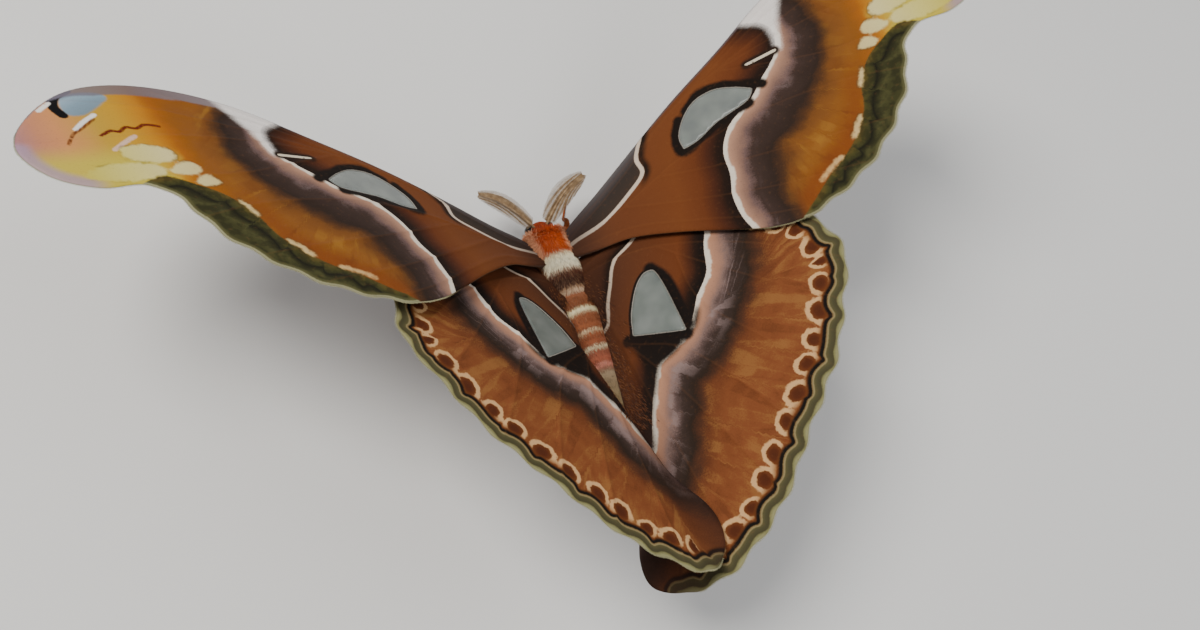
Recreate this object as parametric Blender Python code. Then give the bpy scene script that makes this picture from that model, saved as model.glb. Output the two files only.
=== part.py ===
"""Atlas moth: a still, life-size museum model that stands on its six legs with the wings raised.

The moth faces -Y, its left side is +X and the floor is z = 0.
Lengths below are millimetres in the moth's own frame, whose origin lies on the axis of the thorax.
They become metres when a node's mesh is made. At the end the whole moth is set on the origin.
"""

import math
from dataclasses import dataclass

import bmesh
import bpy
import numpy as np
from mathutils import Matrix, Vector
from mathutils.geometry import delaunay_2d_cdt

MM = 0.001
GAP = 0.3
STAND_HEIGHT = 10.0  # height of the thorax axis above the floor
SIDES = {"left": 1.0, "right": -1.0}
SHARP_EDGE = 38.0  # degrees, past which an edge is shaded sharp
CURVE_SAMPLES = 24  # samples between two points of a smooth line

# Wing sections
MEMBRANE = 0.7
PANE_RECESS = 0.1
PANE_BEVEL = 0.6
VEIN_HALF_WIDTH = 0.9
VEIN_RISE = 0.42
VEIN_STEP = 8.0
MARGIN_STEP = 3.6
FIELD_STEP = 8.5
ROOT_SWELL = 1.3
ROOT_REACH = 7.0

# Body
THORAX_FRONT = -17.6
THORAX_REAR = 1.0
THORAX_HALF_WIDTH = 6.5
THORAX_HALF_HEIGHT = 5.7
HEAD_LENGTH = 4.2
HEAD_HALF_WIDTH = 3.2
HEAD_HALF_HEIGHT = 2.8
EYE_RADIUS = 1.5
ABDOMEN_LENGTH = 36.0
ABDOMEN_HALF_WIDTH = 5.9
ABDOMEN_HALF_HEIGHT = 5.0
ABDOMEN_TAPER = 0.34
ABDOMEN_DROOP = 1.9
ABDOMEN_SEGMENTS = 8
BODY_SIDES = 20
LEG_STEP = 1.6

# Antennae
ANTENNA_LENGTH = 17.6
ANTENNA_STEM = 0.36
BRANCH_PAIRS = 17
BRANCH_LENGTH = 3.1
BRANCH_ROOT = 0.27
BRANCH_TIP = 0.13


@dataclass
class Pose:
    """How one wing is held: turns in degrees, bows as rise over the square of the distance from the hinge."""

    sweep: float
    pitch: float
    lift: float
    bow_out: float
    bow_along: float
    twist: float
    fold: float = 0.0
    heel_curl: float = 0.0


@dataclass
class Wing:
    """A wing laid flat: first number outwards from the body, second number towards the head."""

    hinge: tuple
    seat: tuple
    outline: list
    scallops: tuple
    scallop_length: float
    scallop_depth: float
    veins: list
    window: list
    swell_up: bool
    fold_line: tuple = ()


FOREWING_POSE = {
    "left": Pose(3.9, -20.0, 42.9, -17.96e-4, -2.41e-4, 5.82e-4),
    "right": Pose(-3.7, -15.0, 41.7, -8.66e-4, -2.43e-4, 3.64e-4),
}
HINDWING_POSE = {
    "left": Pose(9.7, -17.4, 35.8, -0.47e-4, -5.64e-4, 10.80e-4, fold=36.0, heel_curl=0.09),
    "right": Pose(0.1, -18.1, 41.4, -11.91e-4, -6.54e-4, 1.76e-4, fold=8.0),
}

FOREWING = Wing(
    hinge=(5.0, 3.0),
    seat=(3.5, 4.6, 2.9),
    outline=[
        (3.0, 12.5), (9.0, 17.5), (25.0, 27.2), (42.0, 37.4), (58.0, 46.0), (74.0, 55.6), (88.0, 60.4),
        (101.0, 61.4), (112.0, 58.2), (121.5, 49.8), (125.7, 41.0), (122.4, 32.6), (115.0, 28.4),
        (106.5, 28.4), (101.4, 23.0), (98.4, 13.6), (92.6, 4.8), (84.6, -3.0), (75.5, -8.0), (66.0, -10.8),
        (57.0, -9.9), (48.0, -6.4), (35.0, -0.6), (22.0, 4.2), (11.0, 5.6), (3.0, 5.0),
    ],
    scallops=(13.0, 19.5),
    scallop_length=9.6,
    scallop_depth=0.45,
    veins=[
        [(5.0, 12.8), (28.0, 26.6), (52.0, 40.4), (68.0, 49.8), (79.0, 56.0)],
        [
            (5.0, 11.2), (24.0, 22.4), (38.0, 32.6), (46.0, 36.6), (56.0, 40.0), (76.0, 46.4), (98.0, 53.2),
            (113.0, 55.4),
        ],
        [(46.0, 36.6), (66.0, 46.6), (84.0, 54.6), (93.0, 59.0)],
        [(56.0, 40.0), (78.0, 42.6), (100.0, 43.4), (123.0, 42.0)],
        [(56.0, 40.0), (69.0, 35.4), (86.0, 30.8), (105.0, 30.4)],
        [(5.0, 9.8), (20.0, 13.0), (33.0, 17.4), (40.0, 19.6), (60.0, 22.4), (82.0, 21.4), (99.4, 17.6)],
        [(33.0, 17.4), (52.0, 12.0), (74.0, 8.0), (92.0, 5.6)],
        [(22.0, 13.6), (40.0, 6.6), (62.0, 0.0), (83.0, -3.4)],
        [(5.0, 7.6), (22.0, 7.0), (40.0, 0.4), (54.0, -5.4), (68.0, -9.2)],
    ],
    window=[(41.4, 22.6), (43.6, 30.6), (48.2, 34.8), (54.2, 35.6), (63.6, 30.4), (61.6, 27.2), (52.0, 25.0)],
    swell_up=True,
)


def hindwing(heel):
    """The hindwing, whose heel is the reach of its rear inner corner towards the body."""
    return Wing(
        hinge=(5.0, -4.0),
        seat=(2.1, -2.3, 2.3),
        outline=[
            (2.0, 3.0), (7.0, 4.6), (20.0, 8.2), (38.0, 6.4), (53.6, -0.8), (63.4, -9.2), (67.6, -17.6),
            (69.4, -27.0), (65.6, -36.0), (61.8, -43.6), (57.6, -50.8), (51.4, -58.0), (44.4, -65.6),
            (37.8, -73.4), (29.4, -80.4), (17.6, -86.6), ((17.0 + heel) / 2.0, -86.8), (heel + 1.2, -82.8),
            (heel, -75.5), ((heel + 9.0) / 2.0, -65.5), (9.0, -55.0), (8.2, -43.0), (8.0, -28.0),
            (7.8, -14.0), (6.2, -7.0), (2.0, -3.6),
        ],
        scallops=(5.5, 16.5),
        scallop_length=10.4,
        scallop_depth=0.5,
        veins=[
            [(4.0, 2.6), (22.0, 5.2), (44.0, 0.6), (58.0, -7.2), (67.0, -17.0)],
            [(4.0, 1.0), (18.0, 0.6), (32.0, -3.6), (50.0, -13.6), (68.0, -27.6)],
            [(28.0, -2.0), (38.0, -13.0), (50.0, -25.0), (63.4, -37.4)],
            [(32.0, -7.0), (33.6, -22.0), (44.0, -38.0), (54.4, -51.6)],
            [(4.0, -0.6), (9.6, -10.0), (11.6, -22.6), (25.0, -31.4), (36.0, -47.0), (44.0, -62.4)],
            [(11.6, -22.6), (19.0, -36.0), (27.0, -54.0), (34.6, -73.6)],
            [(10.6, -17.0), (13.2, -36.0), (17.0, -60.0), (20.4, -83.6)],
        ],
        window=[
            (25.2, -7.4), (27.8, -9.6), (28.4, -26.6), (26.8, -28.4), (14.2, -22.4), (14.2, -18.6),
            (19.4, -9.4),
        ],
        swell_up=False,
        fold_line=((14.2, -24.0), (12.6, -36.0), (11.4, -48.0), (11.4, -58.0)),
    )


HINDWING = {"left": hindwing(heel=6.2), "right": hindwing(heel=-2.0)}

# A leg as (outward, towards the tail, height above the thorax axis) and its radius, from the hip to the toes
LEGS = {
    "front": [
        (1.8, -13.0, -3.6, 1.0), (4.6, -15.6, -5.6, 1.05), (8.0, -19.0, -3.6, 0.95), (9.4, -21.2, -3.9, 0.8),
        (10.2, -22.8, -6.4, 0.75), (11.0, -24.2, -8.9, 0.55), (11.8, -25.6, -9.72, 0.45),
        (14.2, -29.4, -9.75, 0.42),
    ],
    "middle": [
        (2.4, -8.5, -3.8, 1.1), (6.2, -8.8, -5.8, 1.1), (10.6, -9.4, -3.6, 1.0), (12.6, -9.6, -3.9, 0.85),
        (13.8, -9.6, -6.4, 0.75), (14.8, -9.4, -8.9, 0.55), (16.0, -9.4, -9.72, 0.45),
        (20.6, -10.4, -9.75, 0.42),
    ],
    "hind": [
        (2.2, -3.6, -3.4, 1.1), (5.8, -1.6, -5.6, 1.1), (9.6, 2.2, -3.9, 1.0), (11.2, 4.0, -4.2, 0.85),
        (12.2, 5.8, -6.6, 0.75), (13.0, 7.6, -8.9, 0.55), (13.8, 9.2, -9.72, 0.45), (15.8, 13.6, -9.75, 0.42),
    ],
}

COLOURS = {
    "forewing": (0.36, 0.13, 0.03),
    "hindwing": (0.34, 0.12, 0.03),
    "thorax": (0.55, 0.10, 0.02),
    "abdomen": (0.36, 0.14, 0.07),
    "head": (0.55, 0.12, 0.03),
    "eye": (0.03, 0.02, 0.02),
    "antenna": (0.42, 0.27, 0.12),
    "leg": (0.38, 0.12, 0.04),
}


def clear_scene():
    """Take the startup objects away."""
    for thing in list(bpy.data.objects):
        bpy.data.objects.remove(thing)


def collection(name):
    """A new collection in the scene."""
    made = bpy.data.collections.new(name)
    bpy.context.scene.collection.children.link(made)
    return made


def material(kind, roughness=0.75):
    """The node's own surface: its colour, and how rough it is."""
    made = bpy.data.materials.new(kind)
    made.use_nodes = True
    shader = made.node_tree.nodes["Principled BSDF"]
    shader.inputs["Base Color"].default_value = (*COLOURS[kind.split("_")[0]], 1.0)
    shader.inputs["Roughness"].default_value = roughness
    shader.inputs["Metallic"].default_value = 0.0
    return made


def node_from(name, bm, kind, place):
    """A named object from a bmesh in millimetres, shaded smooth with its sharp edges kept."""
    bmesh.ops.transform(bm, matrix=Matrix.Scale(MM, 4), verts=bm.verts)
    bmesh.ops.recalc_face_normals(bm, faces=bm.faces)
    mesh = bpy.data.meshes.new(name)
    bm.to_mesh(mesh)
    bm.free()
    mesh.shade_smooth()
    mesh.set_sharp_from_angle(angle=math.radians(SHARP_EDGE))
    mesh.materials.append(material(f"{kind}_{name}"))
    made = bpy.data.objects.new(name, mesh)
    place.objects.link(made)
    return made


def cutter_from(name, bm, place):
    """A helper solid that cuts clearance and is never rendered."""
    made = node_from(name, bm, "eye", place)
    made.hide_render = True
    made.display_type = "WIRE"
    return made


def apply_boolean(target, operation, other=None, others=None, solver="EXACT"):
    """Join or cut the target for good."""
    step = target.modifiers.new(operation.lower(), "BOOLEAN")
    step.operation = operation
    step.solver = solver
    if others is None:
        step.object = other
    else:
        step.operand_type = "COLLECTION"
        step.collection = others
    graph = bpy.context.evaluated_depsgraph_get()
    result = bpy.data.meshes.new_from_object(target.evaluated_get(graph))
    target.modifiers.remove(step)
    target.data = result


def keep_largest_surface(target):
    """Drop every closed surface but the largest from a node."""
    bm = bmesh.new()
    bm.from_mesh(target.data)
    bmesh.ops.triangulate(bm, faces=bm.faces)
    unseen = set(bm.verts)
    islands = []
    while unseen:
        island = []
        queue = [unseen.pop()]
        while queue:
            vert = queue.pop()
            island.append(vert)
            for edge in vert.link_edges:
                other = edge.other_vert(vert)
                if other in unseen:
                    unseen.remove(other)
                    queue.append(other)
        islands.append(island)
    islands.sort(key=len)
    loose = [vert for island in islands[:-1] for vert in island]
    bmesh.ops.delete(bm, geom=loose, context="VERTS")
    bm.to_mesh(target.data)
    bm.free()


def smooth_line(points, step, closed=False):
    """Points every step along a curve through the given points, each with its place among them."""
    knots = [np.array(point, float) for point in points]
    count = len(knots)
    if closed:
        padded = [knots[-1], *knots, knots[0], knots[1]]
        spans = count
    else:
        padded = [2.0 * knots[0] - knots[1], *knots, 2.0 * knots[-1] - knots[-2]]
        spans = count - 1
    fine = []
    for span in range(spans):
        before, start, end, after = padded[span:span + 4]
        for t in np.linspace(0.0, 1.0, CURVE_SAMPLES, endpoint=False):
            bend = 2 * before - 5 * start + 4 * end - after
            curl = 3 * start - before - 3 * end + after
            fine.append((0.5 * (2 * start + (end - before) * t + bend * t * t + curl * t**3), span + t))
    fine.append((knots[0] if closed else knots[-1], float(spans)))
    places = np.array([place for place, _ in fine])
    stations = np.array([station for _, station in fine])
    run = np.concatenate([[0.0], np.cumsum(np.linalg.norm(np.diff(places, axis=0), axis=1))])
    pieces = max(2, round(run[-1] / step))
    marks = np.linspace(0.0, run[-1], pieces + 1)
    if closed:
        marks = marks[:-1]
    columns = [np.interp(marks, run, places[:, axis]) for axis in range(places.shape[1])]
    return np.column_stack(columns), np.interp(marks, run, stations), marks


def ring(half_width, half_height, centre, sides, fullness=2.0):
    """A superelliptic section across the body at one place along it."""
    points = []
    for index in range(sides):
        angle = 2.0 * math.pi * (index + 0.5) / sides
        c = math.cos(angle)
        s = math.sin(angle)
        x = math.copysign(abs(c) ** (2.0 / fullness), c) * half_width
        z = math.copysign(abs(s) ** (2.0 / fullness), s) * half_height
        points.append(Vector((centre[0] + x, centre[1], centre[2] + z)))
    return points


def loft(rings):
    """A closed body through rings with equal numbers of points, capped at both ends."""
    bm = bmesh.new()
    rows = [[bm.verts.new(point) for point in one] for one in rings]
    sides = len(rows[0])
    for near, far in zip(rows, rows[1:]):
        for index in range(sides):
            after = (index + 1) % sides
            bm.faces.new((near[index], near[after], far[after], far[index]))
    for row in (rows[0], rows[-1]):
        middle = bm.verts.new(sum((vert.co for vert in row), Vector()) / sides)
        for index in range(sides):
            bm.faces.new((row[index], row[(index + 1) % sides], middle))
    bmesh.ops.triangulate(bm, faces=bm.faces)
    return bm


def thorax_rings(grow=0.0):
    """Sections of the thorax from neck to waist, fuller above than at its ends."""
    rings = []
    stations = 9
    length = THORAX_REAR - THORAX_FRONT + 2.0 * grow
    for index in range(stations):
        t = index / (stations - 1)
        belly = math.sin(math.pi * (0.24 + 0.53 * t)) ** 0.62
        width = THORAX_HALF_WIDTH * belly + grow
        height = THORAX_HALF_HEIGHT * belly ** 0.9 + grow
        centre = (0.0, THORAX_FRONT - grow + length * t, -0.6 + 0.2 * t)
        rings.append(ring(width, height, centre, BODY_SIDES, 2.15))
    return rings


def thorax_end(front):
    """Half width, half height and centre height of the thorax's neck or waist."""
    section = thorax_rings()[0 if front else -1]
    across = [point.x for point in section]
    heights = [point.z for point in section]
    return max(across), (max(heights) - min(heights)) / 2.0, (max(heights) + min(heights)) / 2.0


def head_rings(grow=0.0):
    """Sections of the head from the neck forward to the face."""
    neck_width, neck_height, neck_centre = thorax_end(front=True)
    rings = []
    stations = 8
    start = THORAX_FRONT - GAP + grow
    length = HEAD_LENGTH + 2.0 * grow
    for index in range(stations):
        t = index / (stations - 1)
        dome = math.sqrt(max(0.0, 1.0 - (0.97 * t) ** 3.0))
        neck = 1.0 - 0.22 * (1.0 - t) ** 4
        width = min(HEAD_HALF_WIDTH, neck_width) * dome * neck + grow
        height = min(HEAD_HALF_HEIGHT, neck_height) * dome * neck + grow
        centre = (0.0, start - length * t, neck_centre - 0.3 - 0.5 * t)
        rings.append(ring(width, height, centre, BODY_SIDES, 2.1))
    return rings


def abdomen_rings(grow=0.0):
    """Sections of the abdomen: a waist, eight segments with grooves between them, and a blunt tip."""
    waist_width, waist_height, waist_centre = thorax_end(front=False)
    rings = []
    start = THORAX_REAR + GAP - grow
    steps_per_segment = 4
    total = ABDOMEN_SEGMENTS * steps_per_segment
    for index in range(total + 1):
        t = index / total
        inside = (index % steps_per_segment) / steps_per_segment
        bulge = 0.955 + 0.045 * math.sin(math.pi * inside) ** 0.6
        taper = min(1.0, 0.90 + 1.6 * t) * (1.0 - ABDOMEN_TAPER * t ** 1.15)
        body = taper * math.sqrt(max(0.0, 1.0 - (1.005 * t) ** 3.4) + 0.02)
        width = ABDOMEN_HALF_WIDTH * body * bulge
        height = ABDOMEN_HALF_HEIGHT * body * bulge
        if index == 0:
            width = min(width, waist_width)
            height = min(height, waist_height)
        centre = (0.0, start + (ABDOMEN_LENGTH + 2.0 * grow) * t, waist_centre - ABDOMEN_DROOP * t * t)
        rings.append(ring(width + grow, height + grow, centre, BODY_SIDES))
    return rings


def eye_centre(side):
    """Where an eye sits: low on the side of the head."""
    middle = THORAX_FRONT - GAP - 0.52 * HEAD_LENGTH
    return Vector((SIDES[side] * (HEAD_HALF_WIDTH - 0.55), middle, -1.3))


def ball(radius, centre, rings=10, segments=14):
    """A sphere as a bmesh."""
    bm = bmesh.new()
    bmesh.ops.create_uvsphere(bm, u_segments=segments, v_segments=rings, radius=radius)
    bmesh.ops.rotate(bm, verts=bm.verts, matrix=Matrix.Rotation(math.radians(90.0), 3, "Y"))
    bmesh.ops.translate(bm, verts=bm.verts, vec=centre)
    return bm


def cone_between(start, end, root, tip, sides=6):
    """A closed tapering stick from one point to another, its ends flat."""
    along = end - start
    bm = bmesh.new()
    bmesh.ops.create_cone(
        bm, cap_ends=True, cap_tris=True, segments=sides, radius1=root, radius2=tip, depth=along.length
    )
    turn = along.to_track_quat("Z", "Y").to_matrix()
    bmesh.ops.rotate(bm, verts=bm.verts, matrix=turn)
    bmesh.ops.translate(bm, verts=bm.verts, vec=(start + end) / 2.0)
    return bm


def tube(name, points, place, kind, resolution=2):
    """A round limb along a smooth route whose radius changes from point to point."""
    route, _, _ = smooth_line(points, LEG_STEP)
    curve = bpy.data.curves.new(name, "CURVE")
    curve.dimensions = "3D"
    curve.bevel_depth = MM
    curve.bevel_resolution = resolution
    curve.use_fill_caps = True
    spline = curve.splines.new("POLY")
    spline.points.add(len(route) - 1)
    for point, (x, y, z, radius) in zip(spline.points, route):
        point.co = (x * MM, y * MM, z * MM, 1.0)
        point.radius = radius
    thing = bpy.data.objects.new(f"{name}_route", curve)
    place.objects.link(thing)
    graph = bpy.context.evaluated_depsgraph_get()
    mesh = bpy.data.meshes.new_from_object(thing.evaluated_get(graph))
    bpy.data.objects.remove(thing)
    bm = bmesh.new()
    bm.from_mesh(mesh)
    bmesh.ops.remove_doubles(bm, verts=bm.verts, dist=0.01 * MM)
    bmesh.ops.transform(bm, matrix=Matrix.Scale(1.0 / MM, 4), verts=bm.verts)
    bmesh.ops.triangulate(bm, faces=bm.faces)
    return node_from(name, bm, kind, place)


def wing_surface(wing, side, pose, flat):
    """The middle of the membrane, in the moth's frame, at a point of the flat wing."""
    out = flat[0] - wing.hinge[0]
    fore = flat[1] - wing.hinge[1]
    rise = pose.bow_out * out * out + pose.bow_along * fore * fore + pose.twist * out * fore
    rise -= fold_depth(wing, pose, flat)
    turn = (
        Matrix.Rotation(math.radians(-pose.lift), 3, "Y")
        @ Matrix.Rotation(math.radians(pose.pitch), 3, "X")
        @ Matrix.Rotation(math.radians(pose.sweep), 3, "Z")
    )
    place = turn @ Vector((out, fore, rise)) + Vector(wing.seat)
    return Vector((SIDES[side] * place.x, -place.y, place.z))


def fold_depth(wing, pose, flat):
    """How far the inner field of the hindwing hangs below the rest of it, less the rise of its heel."""
    if not wing.fold_line:
        return 0.0
    line = sorted(wing.fold_line, key=lambda point: point[1])
    crease = float(np.interp(flat[1], [point[1] for point in line], [point[0] for point in line]))
    inside = max(0.0, crease - flat[0])
    fade_in = min(1.0, max(0.0, (-14.0 - flat[1]) / 10.0))
    fade_out = min(1.0, max(0.0, (flat[1] + 72.0) / 14.0))
    fade = min(fade_in, fade_out)
    soft = inside * inside / (inside + 1.2)
    hang = math.tan(math.radians(pose.fold)) * soft * fade * fade * (3.0 - 2.0 * fade)
    heel_fade = min(1.0, max(0.0, (-47.0 - flat[1]) / 8.0))
    return hang - pose.heel_curl * max(0.0, 12.0 - flat[0]) ** 2 * heel_fade


def wing_normal(wing, side, pose, flat):
    """The upward normal of the membrane."""
    reach = 0.25
    out = wing_surface(wing, side, pose, (flat[0] + reach, flat[1]))
    inner = wing_surface(wing, side, pose, (flat[0] - reach, flat[1]))
    fore = wing_surface(wing, side, pose, (flat[0], flat[1] + reach))
    rear = wing_surface(wing, side, pose, (flat[0], flat[1] - reach))
    normal = (out - inner).cross(fore - rear).normalized()
    return normal if normal.z > 0.0 else -normal


def scalloped_margin(wing):
    """The wing's outline with the shallow waves of its outer margin."""
    line, stations, run = smooth_line(wing.outline, MARGIN_STEP, closed=True)
    ahead = np.roll(line, -1, axis=0) - np.roll(line, 1, axis=0)
    outward = np.column_stack([-ahead[:, 1], ahead[:, 0]])
    outward /= np.linalg.norm(outward, axis=1, keepdims=True)
    start, end = wing.scallops
    fade = np.clip(np.minimum(stations - start, end - stations), 0.0, 1.0)
    wave = np.cos(2.0 * math.pi * run / wing.scallop_length) * wing.scallop_depth
    return line + outward * (wave * fade)[:, None]


def distance_to_line(point, line):
    """Distance from a flat point to an open polyline."""
    start = line[:-1]
    along = line[1:] - start
    t = np.einsum("ij,ij->i", point - start, along) / np.einsum("ij,ij->i", along, along)
    nearest = start + along * np.clip(t, 0.0, 1.0)[:, None]
    return float(np.min(np.linalg.norm(point - nearest, axis=1)))


def inside_polygon(point, polygon):
    """Whether a flat point lies inside a closed polygon."""
    inside = False
    previous = polygon[-1]
    for corner in polygon:
        if (corner[1] > point[1]) != (previous[1] > point[1]):
            cross = (previous[0] - corner[0]) * (point[1] - corner[1]) / (previous[1] - corner[1]) + corner[0]
            if point[0] < cross:
                inside = not inside
        previous = corner
    return inside


def shrunk(polygon, inset):
    """A convex polygon drawn in towards its middle by about the inset."""
    points = np.array(polygon, float)
    middle = points.mean(axis=0)
    away = points - middle
    length = np.linalg.norm(away, axis=1, keepdims=True)
    return points - away / length * inset


def joined_veins(wing):
    """Each vein as a smooth line, and each branch starts on the vein that it leaves."""
    lines = []
    for vein in wing.veins:
        line = smooth_line(vein, VEIN_STEP)[0]
        is_branch = math.dist(vein[0], wing.hinge) > 1.5 * ROOT_REACH
        for other in lines:
            gaps = np.linalg.norm(other - line[0], axis=1)
            if is_branch and gaps.min() < 0.6 * VEIN_STEP:
                line[0] = other[gaps.argmin()]
        lines.append(line)
    return lines


def flat_pattern(wing):
    """Points and fixed edges of the flat wing: its margin, its veins, its window and the field between."""
    margin = scalloped_margin(wing)
    closed_margin = np.vstack([margin, margin[:1]])
    veins = joined_veins(wing)
    points = [Vector(point) for point in margin]
    edges = []

    def add_loop(loop):
        first = len(points)
        points.extend(Vector(point) for point in loop)
        edges.extend((first + i, first + (i + 1) % len(loop)) for i in range(len(loop)))

    def room(point, clearances):
        return all(distance_to_line(point, line) > reach for line, reach in clearances)

    pane = shrunk(wing.window, PANE_BEVEL)
    add_loop(wing.window)
    add_loop(pane)
    frame = np.vstack([wing.window, wing.window[:1]])
    for index, line in enumerate(veins):
        first = len(points)
        points.extend(Vector(point) for point in line)
        edges.extend((first + i, first + i + 1) for i in range(len(line) - 1))
        ahead = np.gradient(line, axis=0)
        across = np.column_stack([-ahead[:, 1], ahead[:, 0]])
        across /= np.linalg.norm(across, axis=1, keepdims=True)
        others = [(other, VEIN_HALF_WIDTH * 1.15) for k, other in enumerate(veins) if k != index]
        limits = [*others, (closed_margin, 0.8), (frame, 0.5)]
        for hand in (-1.0, 1.0):
            flank = line + across * VEIN_HALF_WIDTH * hand
            last = None
            for point in flank:
                free = room(point, limits) and inside_polygon(point, margin)
                free = free and all((Vector(point) - known).length > 0.75 for known in points)
                if not free:
                    last = None
                    continue
                points.append(Vector(point))
                if last is not None:
                    edges.append((last, len(points) - 1))
                last = len(points) - 1
    limits = [(line, 3.0) for line in veins] + [(closed_margin, 2.6), (frame, 1.6)]
    if wing.fold_line:
        crease = smooth_line(wing.fold_line, 5.0)[0]
        for point in crease:
            if room(point, [(line, 1.3) for line in veins] + [(frame, 1.0)]):
                points.append(Vector(point))
        limits.append((crease, 2.0))
    low = margin.min(axis=0)
    high = margin.max(axis=0)
    for row, fore in enumerate(np.arange(low[1], high[1], FIELD_STEP * 0.87)):
        for out in np.arange(low[0] + (row % 2) * FIELD_STEP / 2.0, high[0], FIELD_STEP):
            point = np.array((out, fore))
            if inside_polygon(point, margin) and room(point, limits):
                points.append(Vector(point))
    return points, edges, len(margin), veins, pane


def wing_body(wing, side, pose):
    """The wing as one closed body: the same triangles above and below, with its veins raised in them."""
    points, edges, margin_count, veins, pane = flat_pattern(wing)
    flat, _, triangles, _, _, _ = delaunay_2d_cdt(points, edges, [list(range(margin_count))], 1, 1e-4)
    pane_edge = np.vstack([pane, pane[:1]])
    bm = bmesh.new()
    upper = []
    lower = []
    for point in flat:
        spot = np.array(point)
        near_vein = min(distance_to_line(spot, line) for line in veins)
        ridge = VEIN_RISE * max(0.0, 1.0 - near_vein / VEIN_HALF_WIDTH)
        glazed = inside_polygon(spot, pane) or distance_to_line(spot, pane_edge) < 0.01
        half = MEMBRANE / 2.0 - (PANE_RECESS if glazed else 0.0)
        out = max(0.0, spot[0] - wing.hinge[0])
        swell = ROOT_SWELL * math.exp(-((out / ROOT_REACH) ** 2))
        above = half + ridge + (swell if wing.swell_up else 0.0)
        below = half + 0.6 * ridge + (0.0 if wing.swell_up else swell)
        middle = wing_surface(wing, side, pose, spot)
        normal = wing_normal(wing, side, pose, spot)
        upper.append(bm.verts.new(middle + normal * above))
        lower.append(bm.verts.new(middle - normal * below))
    rim = {}
    for a, b, c in triangles:
        bm.faces.new((upper[a], upper[b], upper[c]))
        bm.faces.new((lower[a], lower[c], lower[b]))
        for pair in ((a, b), (b, c), (c, a)):
            rim[pair] = rim.get(pair, 0) + 1
    for a, b in rim:
        if (b, a) not in rim:
            bm.faces.new((upper[b], upper[a], lower[a]))
            bm.faces.new((upper[b], lower[a], lower[b]))
    return bm


def antenna_stem(side):
    """The bowed stem of a feeler, from the brow outwards and forwards, each side held its own way."""
    base = Vector((SIDES[side] * 1.5, THORAX_FRONT - GAP - 0.45 * HEAD_LENGTH, 0.2))
    aim = {"left": Vector((11.4, -10.6, 3.6)), "right": Vector((-12.6, -8.8, 4.2))}[side].normalized()
    bow = Vector((-aim.x * 0.2, -0.9, 0.55)).normalized()
    points = []
    for t in np.linspace(0.0, 1.0, 9):
        reach = base + aim * ANTENNA_LENGTH * t + bow * 1.5 * math.sin(math.pi * t)
        points.append((*reach, ANTENNA_STEM * (1.15 - 0.55 * t)))
    return points


def build_antenna(side, place, scraps, brow):
    """A feathered feeler: a tapering stem with two rows of slender branches, fused into one body."""
    name = f"antenna_{side}"
    points = antenna_stem(side)
    stem = tube(name, points, place, "antenna", resolution=1)
    line = [Vector(point[:3]) for point in points]
    route, _, _ = smooth_line([tuple(point) for point in line], 0.25)
    branches = bpy.data.collections.new(f"{name}_branches")
    scraps.children.link(branches)
    for index in range(BRANCH_PAIRS):
        t = 0.12 + 0.84 * index / (BRANCH_PAIRS - 1)
        at = int(t * (len(route) - 2))
        root = Vector(route[at])
        along = (Vector(route[at + 1]) - root).normalized()
        across = along.cross(Vector((0.0, -0.35, 1.0))).normalized()
        length = BRANCH_LENGTH * math.sin(math.pi * min(1.0, 0.14 + 0.80 * t)) ** 0.75
        for hand in (-1.0, 1.0):
            tip = root + across * hand * length + along * length * 0.55
            stick = cone_between(root, tip, BRANCH_ROOT, BRANCH_TIP, sides=5)
            cutter_from(f"{name}_branch_{index}_{int(hand)}", stick, branches)
    apply_boolean(stem, "UNION", others=branches, solver="MANIFOLD")
    apply_boolean(stem, "DIFFERENCE", other=brow)
    keep_largest_surface(stem)
    for thing in list(branches.objects):
        bpy.data.objects.remove(thing)
    bpy.data.collections.remove(branches)
    return stem


def build_head(place, scraps):
    """The head with its two short palps, and a socket cut for each eye."""
    head = node_from("head", loft(head_rings()), "head", place)
    palps = bpy.data.collections.new("palps")
    scraps.children.link(palps)
    face = THORAX_FRONT - GAP - HEAD_LENGTH
    for side, hand in SIDES.items():
        start = Vector((hand * 0.8, face + 1.9, -2.4))
        end = Vector((hand * 0.9, face - 0.5, -2.9))
        cutter_from(f"palp_{side}", cone_between(start, end, 0.72, 0.3, sides=8), palps)
    apply_boolean(head, "UNION", others=palps)
    for side in SIDES:
        socket = cutter_from(f"socket_{side}", ball(EYE_RADIUS + GAP, eye_centre(side)), scraps)
        apply_boolean(head, "DIFFERENCE", other=socket)
    keep_largest_surface(head)
    for thing in list(palps.objects):
        bpy.data.objects.remove(thing)
    bpy.data.collections.remove(palps)


def build_legs(place, scraps, chest):
    """Six jointed legs whose feet are cut flat on the floor."""
    floor = bmesh.new()
    bmesh.ops.create_cube(floor, size=120.0)
    bmesh.ops.translate(floor, verts=floor.verts, vec=(0.0, 0.0, -STAND_HEIGHT - 60.0))
    ground = cutter_from("ground", floor, scraps)
    for pair, joints in LEGS.items():
        for side, hand in SIDES.items():
            points = [(hand * x, y, z, radius) for x, y, z, radius in joints]
            leg = tube(f"leg_{pair}_{side}", points, place, "leg")
            apply_boolean(leg, "DIFFERENCE", other=chest)
            apply_boolean(leg, "DIFFERENCE", other=ground)
            keep_largest_surface(leg)


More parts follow.
